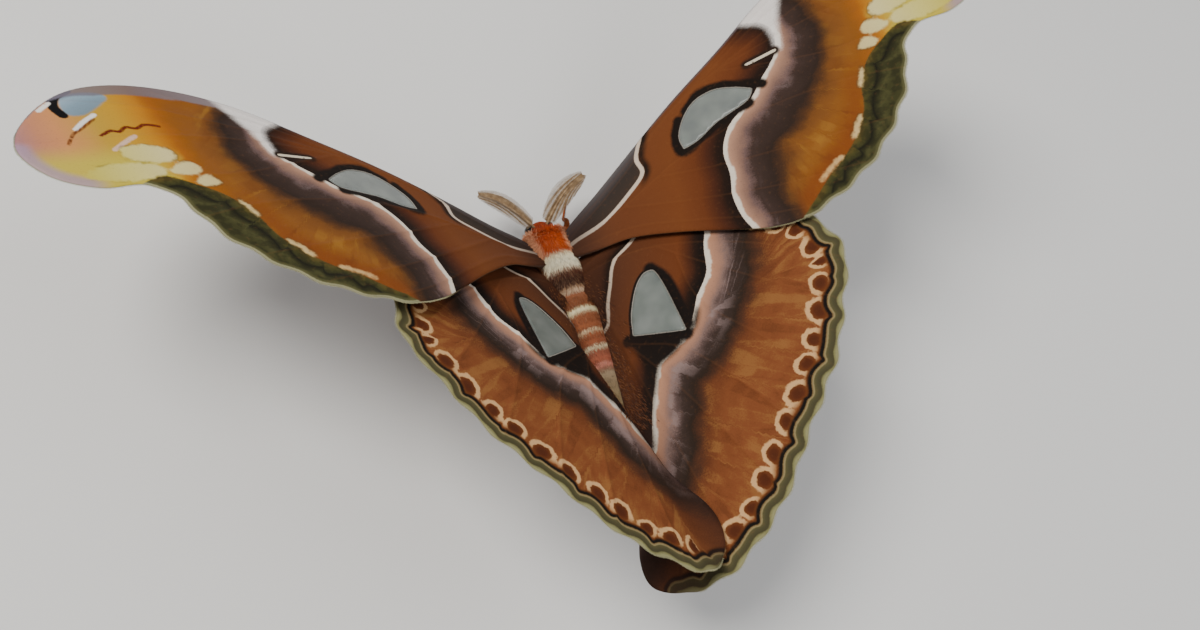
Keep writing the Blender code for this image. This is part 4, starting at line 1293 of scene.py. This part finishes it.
def paint_body(name, coat):
    """The belts of the body, for the skin or for one kind of tuft."""
    paint = Paint(name, 0.85, 0.04, 0.15)
    spot = paint.field("spot", "Vector")
    x, y, z = (spot.axis(axis) for axis in "XYZ")
    side = x.maths("ABSOLUTE")
    along = (y + (side * 0.2).maths("POWER", 2.0) * -0.5).jitter(spot.noise(1.6, 3.0), 0.9)
    paint.colour = paint.mix(y.fade(20.4, 20.8), along.ramp(BELTS), along.ramp(TAIL_BELTS))
    paint.lay("7a4526", side.fade(3.9, 5.0) * y.fade(-11.6, -10.2) * y.fade(-3.0, -4.6))
    shoulder = side.fade(2.5, 3.6) * y.fade(-10.4, -11.8) * y.fade(-18.4, -16.6)
    paint.lay("e3a27a", shoulder * z.fade(-4.0, -1.5))
    paint.lay("7a3a1c", z.fade(-2.0, -4.2) * y.fade(3.0, -1.0) * 0.8)
    leg = paint.mix(spot.noise(0.35).fade(0.42, 0.60), "9a5228", "6e3a1e")
    paint.lay(leg, paint.field("aside").fade(0.5, 1.1) * 0.9)
    if coat:
        paint.lay("2e190d", paint.field("shade").fade(0.55, 0.0) * 0.26)
        paint.lay("e0ae80", paint.field("shade").fade(0.6, 1.0) * 0.20)
        # Darker towards the root of each tuft: painted shade deep in the coat, where the tufts overlap
        paint.lay("2e190d", paint.field("tip").fade(0.45, 0.0) * 0.30)
    else:
        fine = paint.node("ShaderNodeMapping", {"Vector": spot, "Scale": (5.0, 1.1, 5.0)})
        paint.bump(fine.noise(1.0, 3.0), 0.00025, 0.8)
    return paint.finish()


# %% Build the skin
skin_paint = paint_body("moth_skin", coat=False)
skin, skin_spots, skin_corners = build_skin(skin_paint)
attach(skin, "root")
leg_nodes = [f"leg_{pair}_{side}" for pair in LEGS for side in SIDES]
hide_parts("head", "thorax", "abdomen", *leg_nodes)


# %% [markdown]
# The coat is made of tufts. Each is a thin, bent, three-sided strand that rises from the skin and
# then lies back along the body, so that neighbours overlap like thatch. They are long on the thorax,
# shorter on the abdomen, and shortest on the face and the feet. All tufts of a coat are built at once
# from arrays of roots, and each gets a tiny patch on the bake map at its root's place.

# %% Tufts
PATCH = 0.003
STRAND_MARKS = (0.0, 0.4, 0.75)
STRAND_WIDTHS = (1.0, 0.86, 0.52)
STRAND_RISES = (1.0, 0.45, -0.15)
TUFT_POINTS = 10
ROOT_DEPTH = 0.12


def leg_place(spots):
    """For points near the legs: which leg, the share of its length, and the direction to its foot."""
    best = np.full(len(spots), 1e9)
    which = np.zeros(len(spots))
    share = np.zeros(len(spots))
    ahead = np.zeros((len(spots), 3))
    for number, leg in enumerate(ALL_LEGS):
        line = smooth_line(leg[:, :3], 0.7)
        gap = np.linalg.norm(spots[:, None] - line, axis=2)
        near = gap.argmin(axis=1)
        least = gap.min(axis=1)
        closer = least < best
        best[closer] = least[closer]
        which[closer] = number
        share[closer] = near[closer] / len(line)
        ahead[closer] = unit(np.gradient(line, axis=0))[near[closer]]
    return which, share, ahead


def bake_places(spots, aside):
    """Where roots lie on an unwrap of the skin: the trunk in one strip, the legs in six beside it."""
    width, height, centre = section_at(spots[:, 1])
    turn = np.arctan2((spots[:, 2] - centre) / height, spots[:, 0] / width) / (2.0 * math.pi) + 0.5
    run = (spots[:, 1] - PROFILE[0][0]) / (PROFILE[0][-1] - PROFILE[0][0])
    which, share, _ = leg_place(spots)
    trunk = np.column_stack([0.01 + 0.60 * turn, 0.01 + 0.97 * np.clip(run, 0.0, 1.0)])
    legs = np.column_stack([0.63 + 0.06 * which + 0.05 * turn, 0.01 + 0.97 * share])
    return np.where((aside > 0.8)[:, None], legs, trunk)


def scatter(corners, density, chance):
    """Random roots on triangles of the skin, so many per square millimetre, with their normals."""
    a, b, c = (skin_spots[corners[:, k]] for k in range(3))
    cross = np.cross(b - a, c - a)
    wanted = np.cumsum(np.linalg.norm(cross, axis=1) / 2.0 * density)
    count = int(wanted[-1])
    draws = (np.arange(count) + chance.random(count)) / count * wanted[-1]
    face = np.searchsorted(wanted, draws).clip(0, len(corners) - 1)
    u = chance.random(count)
    v = chance.random(count)
    over = u + v > 1.0
    u[over], v[over] = 1.0 - u[over], 1.0 - v[over]
    return a[face] + (b - a)[face] * u[:, None] + (c - a)[face] * v[:, None], unit(cross[face])


def tuft_faces(count):
    """The triangles of so many tufts: a root, two bent stretches of three sides each, and a tip."""
    shape = [(0, 2, 1)]
    for low in (0, 3):
        for k in range(3):
            a, b = low + k, low + (k + 1) % 3
            shape += [(a, b, b + 3), (a, b + 3, a + 3)]
    shape += [(6, 7, 9), (7, 8, 9), (8, 6, 9)]
    return (np.array(shape)[None] + (np.arange(count) * TUFT_POINTS)[:, None, None]).reshape(-1, 3)


def tuft_mesh(name, finish, chance, bake, roots, normals, leans, lengths, widths, lifts, **fields):
    """Every tuft of one coat as one mesh of closed strands."""
    count = len(roots)
    lean = unit(leans - normals * (leans * normals).sum(axis=1, keepdims=True))
    side = np.cross(lean, normals)
    point = roots - normals * ROOT_DEPTH
    levels = []
    for step, width, rise in zip(np.diff([*STRAND_MARKS, 1.0]), STRAND_WIDTHS, STRAND_RISES):
        half = (widths * width / 2.0)[:, None]
        levels += [point - side * half, point + side * half, point + normals * half * 1.1]
        way = unit(lean + normals * (lifts * rise)[:, None])
        point = point + way * (lengths * step)[:, None]
    places = np.stack([*levels, point], axis=1).reshape(-1, 3)
    faces = tuft_faces(count)
    coat = mesh_object(name, to_metres(places), faces, finish)
    marks = np.array([*np.repeat(STRAND_MARKS, 3), 1.0])
    fields = {"spot": roots, **fields}
    kept = {label: np.repeat(values, TUFT_POINTS, axis=0) for label, values in fields.items()}
    kept["tip"] = np.tile(marks, count)
    kept["shade"] = np.repeat(chance.random(count), TUFT_POINTS)
    write_fields(coat, kept)
    offsets = np.array([(k % 3 / 2.0, mark) for k, mark in enumerate(marks)]) * PATCH
    corners = (np.repeat(bake, TUFT_POINTS, axis=0) + np.tile(offsets, (count, 1)))[faces.ravel()]
    layer = coat.data.uv_layers.new(name="OFBake")
    layer.data.foreach_set("uv", corners.ravel().astype(np.float32))
    print(name, "has", count, "tufts and", len(faces), "triangles")
    return coat


# %% [markdown]
# Each coat of the body is one row of a table: which part of the skin it grows on, how dense, long and
# wide it is, how steeply it rises, and which way it is combed. Lengths and lifts change along the body,
# or along the leg for the coat of the legs.

# %% Coats


def is_palp(x, y):
    """The two short feelers under the face, which wear the coat of the head."""
    return (y < -19.4) & (np.abs(x) < 2.4)


COATS = {
    "shoulder_coat": {
        "on": lambda x, y, z, off: (
            (y >= -17.9) & (y < -11.5) & (off < 0.9) & (np.abs(x) > 3.1) & (z > -3.4)
        ),
        "grow": (24.0, 0.17, 15),
        "length": path(-17.9, 2.9, -11.5, 3.3),
        "lift": path(-17.9, 0.75, -11.5, 0.40),
        "lean": lambda x, y: (
            np.sign(x) * 0.8, np.interp(y, [-17.9, -15.0, -11.5], [-0.9, -0.1, 0.8]), 0.12
        ),
    },
    "collar_coat": {
        "on": lambda x, y, z, off: (y >= -18.2) & (y < -15.4) & (off < 0.9) & (z > -2.5),
        "grow": (20.0, 0.17, 16),
        "length": path(-18.0, 2.5, -15.4, 2.1),
        "lift": path(-18.0, 0.80, -15.4, 0.60),
        "lean": lambda x, y: (x * 0.09, np.interp(y, [-18.2, -16.8, -15.4], [-1.0, -0.35, 0.7]), 0.1),
    },
    "head_coat": {
        "on": lambda x, y, z, off: (y < -17.9) & ((off < 1.4) | is_palp(x, y)),
        "grow": (26.0, 0.13, 11),
        "length": path(-22.2, 0.55, -18.2, 1.15),
        "lift": path(-22.2, 0.35, -18.0, 0.7),
        "lean": lambda x, y: (x * 0.06, -1.0, -0.35),
    },
    "thorax_coat": {
        "on": lambda x, y, z, off: (y >= -17.9) & (y < 1.0) & (off < 0.9),
        "grow": (17.0, 0.17, 12),
        "length": path(-17.6, 1.7, -14.0, 2.3, -4.0, 2.5, 1.0, 2.2),
        "lift": path(-17.8, 0.8, -15.5, 0.42, 0.0, 0.30),
        "lean": lambda x, y: (
            np.sign(x) * np.interp(np.abs(x), [0.0, 1.5, 5.0], [0.0, 0.18, 0.5]),
            np.interp(y, [-18.0, -16.4, -14.0], [0.25, 0.7, 1.0]),
            0.0,
        ),
    },
    "abdomen_coat": {
        "on": lambda x, y, z, off: (y >= 1.0) & (off < 0.9),
        "grow": (11.0, 0.16, 13),
        "length": path(1.0, 1.7, 8.0, 1.25, 37.0, 1.1),
        "lift": path(1.0, 0.26, 37.0, 0.20),
        "lean": lambda x, y: (0.0, 1.0, 0.0),
    },
    "leg_coat": {
        "on": lambda x, y, z, off: (off >= 0.8) & (y > -31.0) & ~is_palp(x, y),
        "grow": (14.0, 0.11, 14),
        "length": path(0.0, 1.4, 0.35, 1.1, 0.6, 0.65, 0.75, 0.4, 1.0, 0.25),
        "lift": path(0.0, 0.22, 1.0, 0.22),
    },
}


def body_coat(name, finish):
    """The tufts of one part of the skin."""
    design = COATS[name]
    density, width, seed = design["grow"]
    chance = np.random.default_rng(seed)
    centres = skin_spots[skin_corners].mean(axis=1)
    chosen = skin_corners[design["on"](*centres.T, beside_body(centres))]
    roots, normals = scatter(chosen, density, chance)
    count = len(roots)
    if name == "leg_coat":
        _, run, leans = leg_place(roots)
    else:
        run = roots[:, 1]
        leans = np.column_stack([np.broadcast_to(part, count) for part in design["lean"](roots[:, 0], run)])
    leans = leans + chance.normal(0.0, 0.20, (count, 3))
    lengths = np.interp(run, *design["length"].T) * chance.uniform(0.72, 1.15, count)
    widths = width * chance.uniform(0.75, 1.2, count)
    lifts = np.interp(run, *design["lift"].T) * chance.uniform(0.7, 1.3, count)
    aside = beside_body(roots)
    strands = (roots, normals, leans, lengths, widths, lifts)
    return tuft_mesh(name, finish, chance, bake_places(roots, aside), *strands, aside=aside)


coats = [body_coat(name, paint_body(name, coat=True)) for name in COATS]
for coat in coats:
    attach(coat, "root")

# %% [markdown]
# Long soft hair also grows on the wings where they leave the thorax, and along the inner edge of each
# hindwing, where it lies against the abdomen. These tufts root on the wing's own surface.

# %% Hair on the wing roots
# How many hairs, the field they grow on, where and how fast they thin out, and which way they lie
ROOT_HAIR = {
    "forewing": (4200, (2.5, 14.0), (6.0, 20.0), path(6, 2.5), 5.5, (0.8, 0.35)),
    "hindwing": (3400, (2.5, 16.0), (-46.0, 4.0), path(-46, 10, -14, 9.4, -4, 7, 4, 3), 2.4, (0.5, -1.0)),
}
ROOT_HAIR_WIDTH = 0.14
# The flat wing's place and size on the bake map
FLAT_SHIFT = (12.0, 92.0)
FLAT_SIZE = 170.0


def paint_root_hair():
    """Rust brown, each hair a little lighter or darker, with painted shade towards the roots."""
    paint = Paint("root_hair", 0.85, 0.04, 0.15)
    shades = [(0, "3a2012"), (0.35, "5c3219"), (0.7, "744222"), (1, "8c5a34")]
    paint.colour = paint.field("shade").ramp(shades)
    # Darker towards each hair's root: painted shade deep among the hairs
    paint.lay("1d0e06", paint.field("tip").fade(0.4, 0.0) * 0.4)
    return paint.finish()


def root_hair(key, finish, seed):
    """Hair on the root of one wing and, on a hindwing, down its inner edge."""
    chance = np.random.default_rng(seed)
    count, out, fore, inner, reach, along = ROOT_HAIR[key[0]]
    flat = np.column_stack([chance.uniform(*out, count), chance.uniform(*fore, count)])
    fade = bell(np.maximum(0.0, flat[:, 0] - np.interp(flat[:, 1], *inner.T)) / reach)
    flat = flat[(chance.random(count) < fade) & is_inside(flat, margin_of(WINGS[key], LINE_STEP)[0])]
    count = len(flat)
    ahead = wing_surface(key, flat + along) - wing_surface(key, flat)
    normals = wing_normal(key, flat)
    roots = wing_surface(key, flat) + normals * 0.2
    leans = unit(ahead) + chance.normal(0.0, 0.16, (count, 3))
    lengths = chance.uniform(1.2, 2.2, count)
    lifts = chance.uniform(0.10, 0.35, count)
    widths = np.full(count, ROOT_HAIR_WIDTH)
    bake = (flat + FLAT_SHIFT) / FLAT_SIZE
    name = "root_hair_" + "_".join(key)
    return tuft_mesh(name, finish, chance, bake, roots, normals, leans, lengths, widths, lifts)


root_paint = paint_root_hair()
for number, key in enumerate(WINGS):
    hair = root_hair(key, root_paint, 30 + number)
    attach(hair, "root")


# %% [markdown]
# Each feeler is a comb: a bowed stem with four rows of fine branches that lie almost in one plane and
# make a broad leaf. The rows are built by Geometry Nodes. A line of points carries a lean and a reach
# for each branch, and the tree sets a thin cone on every point, turns it to its lean and stretches it
# to its reach. The same tree later sets the fringe of the wings.

# %% Hairs on points
HAIR_INPUTS = {
    "Geometry": "Geometry", "Thickness": "Float", "Tip share": "Float", "Jitter": "Float", "Seed": "Int",
    "Finish": "Material",
}


def hair_tree():
    """Points in, hairs out: one cone on each point, leaning and reaching as its point says."""
    tree = bpy.data.node_groups.new("hairs_on_points", "GeometryNodeTree")
    for name, kind in HAIR_INPUTS.items():
        tree.interface.new_socket(name, in_out="INPUT", socket_type="NodeSocket" + kind)
    tree.interface.new_socket("Geometry", in_out="OUTPUT", socket_type="NodeSocketGeometry")
    given = tree.nodes.new("NodeGroupInput").outputs
    points = add_node(tree, "GeometryNodeMeshToPoints", {"Mesh": given["Geometry"]})
    ends = {"Radius Top": given["Tip share"], "Radius Bottom": 1.0, "Depth": 1.0}
    cone = add_node(tree, "GeometryNodeMeshCone", {"Vertices": 5, "Side Segments": 2, **ends})
    lean = add_node(tree, "GeometryNodeInputNamedAttribute", {"Name": "lean"}, data_type="FLOAT_VECTOR")
    reach = add_node(tree, "GeometryNodeInputNamedAttribute", {"Name": "reach"}, data_type="FLOAT")
    turn = add_node(tree, "FunctionNodeAlignRotationToVector", {"Vector": lean}, axis="Z")
    low = add_node(tree, "ShaderNodeMath", {0: 1.0, 1: given["Jitter"]}, operation="SUBTRACT")
    between = {2: low, 3: 1.0, "Seed": given["Seed"]}
    chance = add_node(tree, "FunctionNodeRandomValue", between, 1, data_type="FLOAT")
    length = add_node(tree, "ShaderNodeMath", {0: reach, 1: chance}, operation="MULTIPLY")
    size = {"X": given["Thickness"], "Y": given["Thickness"], "Z": length}
    size = add_node(tree, "ShaderNodeCombineXYZ", size)
    hairs = {"Points": points, "Instance": cone, "Rotation": turn, "Scale": size}
    hairs = add_node(tree, "GeometryNodeInstanceOnPoints", hairs)
    real = add_node(tree, "GeometryNodeRealizeInstances", {"Geometry": hairs})
    done = add_node(tree, "GeometryNodeSetMaterial", {"Geometry": real, "Material": given["Finish"]})
    tree.links.new(done, tree.nodes.new("NodeGroupOutput").inputs["Geometry"])
    return tree


HAIR_TREE = hair_tree()


def grow_hairs(name, roots, leans, reaches, finish, settings, fields=None):
    """The mesh of hairs on points given in the moth's frame, in millimetres."""
    mesh = bpy.data.meshes.new(name + "_points")
    mesh.from_pydata(to_metres(roots).tolist(), [], [])
    seeds = placed(name + "_points", mesh)
    write_fields(seeds, {"lean": leans, "reach": np.asarray(reaches) * MM, **(fields or {})})
    grower = seeds.modifiers.new("hairs", "NODES")
    grower.node_group = HAIR_TREE
    sockets = HAIR_TREE.interface.items_tree
    inputs = {socket.name: socket.identifier for socket in sockets if socket.in_out == "INPUT"}
    for title, value in {**settings, "Finish": finish}.items():
        grower[inputs[title]] = value
    mesh = evaluated(seeds)
    mesh.materials.clear()
    mesh.materials.append(finish)
    mesh.shade_smooth()
    print(name, "has", len(roots), "hairs and", len(mesh.polygons), "faces")
    return mesh


# %% Feelers
ANTENNA_ROOT = (1.5, -19.79, 0.2)
ANTENNA_LENGTH = 17.6
ANTENNA_BOW = 1.5
ANTENNA_AIM = {"left": (11.4, -10.6, 3.6), "right": (-12.6, -8.8, 4.2)}
BRANCHES = 68
BRANCH_LENGTH = 3.1
BRANCH_SETTINGS = {"Thickness": 0.10 * MM, "Tip share": 0.5, "Jitter": 0.08, "Seed": 4}


def build_antenna(side, finish):
    """The bowed stem and its four rows of branches."""
    aim = unit(np.array(ANTENNA_AIM[side]))
    bow = unit(np.array([-aim[0] * 0.2, -0.9, 0.55]))
    t = np.linspace(0.0, 1.0, 60)
    line = aim * ANTENNA_LENGTH * t[:, None] + bow * ANTENNA_BOW * np.sin(math.pi * t)[:, None]
    line += np.array(ANTENNA_ROOT) * (SIDES[side], 1.0, 1.0)
    ahead = unit(np.gradient(line, axis=0))
    stem, stem_faces = tube_between(np.column_stack([line, 0.30 * (1.15 - 0.55 * t)])[::4], 10)
    marks = np.linspace(0.06, 0.985, BRANCHES)
    roots = np.column_stack([np.interp(marks, t, values) for values in line.T])
    along = np.column_stack([np.interp(marks, t, values) for values in ahead.T])
    across = unit(np.cross(along, (0.0, -0.35, 1.0)))
    upward = np.cross(across, along)
    length = BRANCH_LENGTH * np.sin(math.pi * np.minimum(1.0, 0.14 + 0.80 * marks)) ** 0.75
    spots, leans, reaches = [], [], []
    for hand in (-1.0, 1.0):
        for tilt, forward, share in ((0.10, 0.52, 1.06), (-0.14, 0.34, 0.98)):
            lean = across * hand + along * forward + upward * tilt
            spots.append(roots + upward * math.copysign(0.08, tilt))
            leans.append(unit(lean))
            reaches.append(length * share * np.linalg.norm(lean, axis=1))
    comb = grow_hairs(
        "comb_" + side, np.vstack(spots), np.vstack(leans), np.concatenate(reaches), finish, BRANCH_SETTINGS
    )
    comb_faces = [face.vertices for face in comb.polygons]
    places, faces = joined([(to_metres(stem), stem_faces), (points_of(comb), comb_faces)])
    return mesh_object("feeler_" + side, places, faces, finish)


def mottled(name, stops, roughness, sheen=0.0, specular=0.5):
    """A plain finish whose colour wanders a little, for the small hard parts."""
    paint = Paint(name, roughness, sheen, specular)
    return paint.finish(paint.place().noise(900.0).ramp(stops))


ANTENNA_TAN = [(0.3, "74593a"), (0.5, "8f7350"), (0.7, "a88c68")]
antenna_paint = mottled("antenna_comb", ANTENNA_TAN, 0.6, 0.1, 0.4)
for side in SIDES:
    feeler = build_antenna(side, antenna_paint)
    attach(feeler, "root")
    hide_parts("antenna_" + side)


# %% [markdown]
# The eyes are dark domes made of thousands of facets. Here each is a glossy ball with a fine net of
# cells in its relief, so that no facet has to be modelled.

# %% Eyes
EYE_CENTRE = (2.65, -20.084, -1.3)
EYE_RADIUS = 1.46
EYE_ROWS = 28
EYE_SIDES = 36


def paint_eye():
    """Almost black, glossy, with a fine net of facets."""
    paint = Paint("eye_cornea", 0.22, 0.0, 0.5)
    cells = {"Vector": paint.place(), "Scale": 5200.0}
    cells = paint.node("ShaderNodeTexVoronoi", cells, "Distance", feature="DISTANCE_TO_EDGE")
    paint.bump(cells.fade(0.0, 0.16), 0.00003, 0.7)
    shades = [(0.3, "0d0806"), (0.6, "1d110b"), (0.8, "2c1a10")]
    return paint.finish(paint.place().noise(700.0, 1.0).ramp(shades))


def build_eye(side, finish):
    """A dome on the side of the head."""
    c, s = ring_turns(EYE_SIDES)
    lifts = np.linspace(0.02, math.pi - 0.02, EYE_ROWS)[:, None]
    ball = np.stack([np.cos(lifts) * np.ones(EYE_SIDES), np.sin(lifts) * c, np.sin(lifts) * s], axis=2)
    centre = np.array(EYE_CENTRE) * (SIDES[side], 1.0, 1.0)
    places = ball.reshape(-1, 3) * EYE_RADIUS + centre
    return mesh_object("moth_eye_" + side, to_metres(places), rings_to_faces(EYE_ROWS, EYE_SIDES), finish)


eye_paint = paint_eye()
for side in SIDES:
    eye = build_eye(side, eye_paint)
    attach(eye, "root")
    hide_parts("eye_" + side)


# %% [markdown]
# The margin of every wing ends in a fringe of long, narrow scales. The hair tree of the feelers sets
# them along the outline, each leaning straight out of the wing.

# %% Wing fringe
FRINGE_STEP = 0.24
FRINGE_REACH = 0.62
FRINGE_SETTINGS = {"Thickness": 0.085 * MM, "Tip share": 0.6, "Jitter": 0.3, "Seed": 9}


def paint_fringe():
    """Pale olive at the outer margin, dark brown along the leading and inner edges."""
    paint = Paint("fringe", 0.85, 0.0, 0.12)
    tone = paint.field("tone").jitter(paint.place().noise(1500.0), 0.3)
    return paint.finish(tone.ramp([(0, "4a3626"), (0.5, "6b5f45"), (1, "a39f7c")]))


def wing_fringe(key, finish):
    """The fringe of one wing."""
    wing = WINGS[key]
    flat, station, outward = margin_of(wing, FRINGE_STEP)
    keep = flat[:, 0] > wing["hinge"][0] + 4.0
    flat, station, outward = flat[keep], station[keep], outward[keep]
    start, end = wing["outer"]
    outer = np.clip(np.minimum(station - start + 1.0, end - station + 1.0), 0.0, 1.0)
    lean = wing_surface(key, flat + outward * 0.4) - wing_surface(key, flat - outward * 0.1)
    roots = wing_surface(key, flat - outward * 0.15)
    reach = FRINGE_REACH * (0.55 + 0.45 * outer)
    name = "fringe_" + "_".join(key)
    hairs = grow_hairs(name, roots, unit(lean), reach, finish, FRINGE_SETTINGS, {"tone": outer})
    return placed(name, hairs)


fringe_paint = paint_fringe()
for key in WINGS:
    fringe = wing_fringe(key, fringe_paint)
    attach(fringe, "root")

# %% [markdown]
# Each foot ends in a pair of small hooked claws, and each shin carries two spurs. They are short
# tubes through a few points, made by the function that shapes the legs.

# %% Claws
# Points of a hook: the share of the claw's reach, the rise and the radius
CLAW_REACH = 1.15
HOOK = ((0.0, 0.0, 0.13), (0.45, 0.12, 0.10), (0.8, 0.0, 0.07), (0.95, -0.16, 0.03))
# Points of a spur: how far below the knee, how far aside, and the radius
SPUR = ((1.6, 0.0, 0.12), (2.4, 0.45, 0.08), (3.1, 0.8, 0.03))
KNEE = 4


def build_claws(finish):
    """Two hooks on each foot and two spurs on each shin, as one piece."""
    shapes = []
    for leg in ALL_LEGS:
        line = smooth_line(leg[:, :3], 0.5)
        knee = leg[KNEE, :3]
        way = unit(line[-1] - line[-4])
        down = unit(leg[KNEE + 1, :3] - knee)
        across = np.cross(way, (0.0, 0.0, 1.0))
        for aside in (-across, across):
            reach = (way + aside * 0.35) * CLAW_REACH
            toe = line[-1] + aside * 0.14
            hook = [(*(toe + reach * far + (0.0, 0.0, rise)), radius) for far, rise, radius in HOOK]
            spur = [(*(knee + down * far + aside * out), radius) for far, out, radius in SPUR]
            shapes += [tube_between(hook, 8), tube_between(spur, 8)]
    places, faces = joined(shapes)
    return mesh_object("claws", to_metres(places), faces, finish)


claws = build_claws(mottled("claws", [(0.3, "1c100a"), (0.7, "3a2314")], 0.35))
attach(claws, "root")


# %% Finish
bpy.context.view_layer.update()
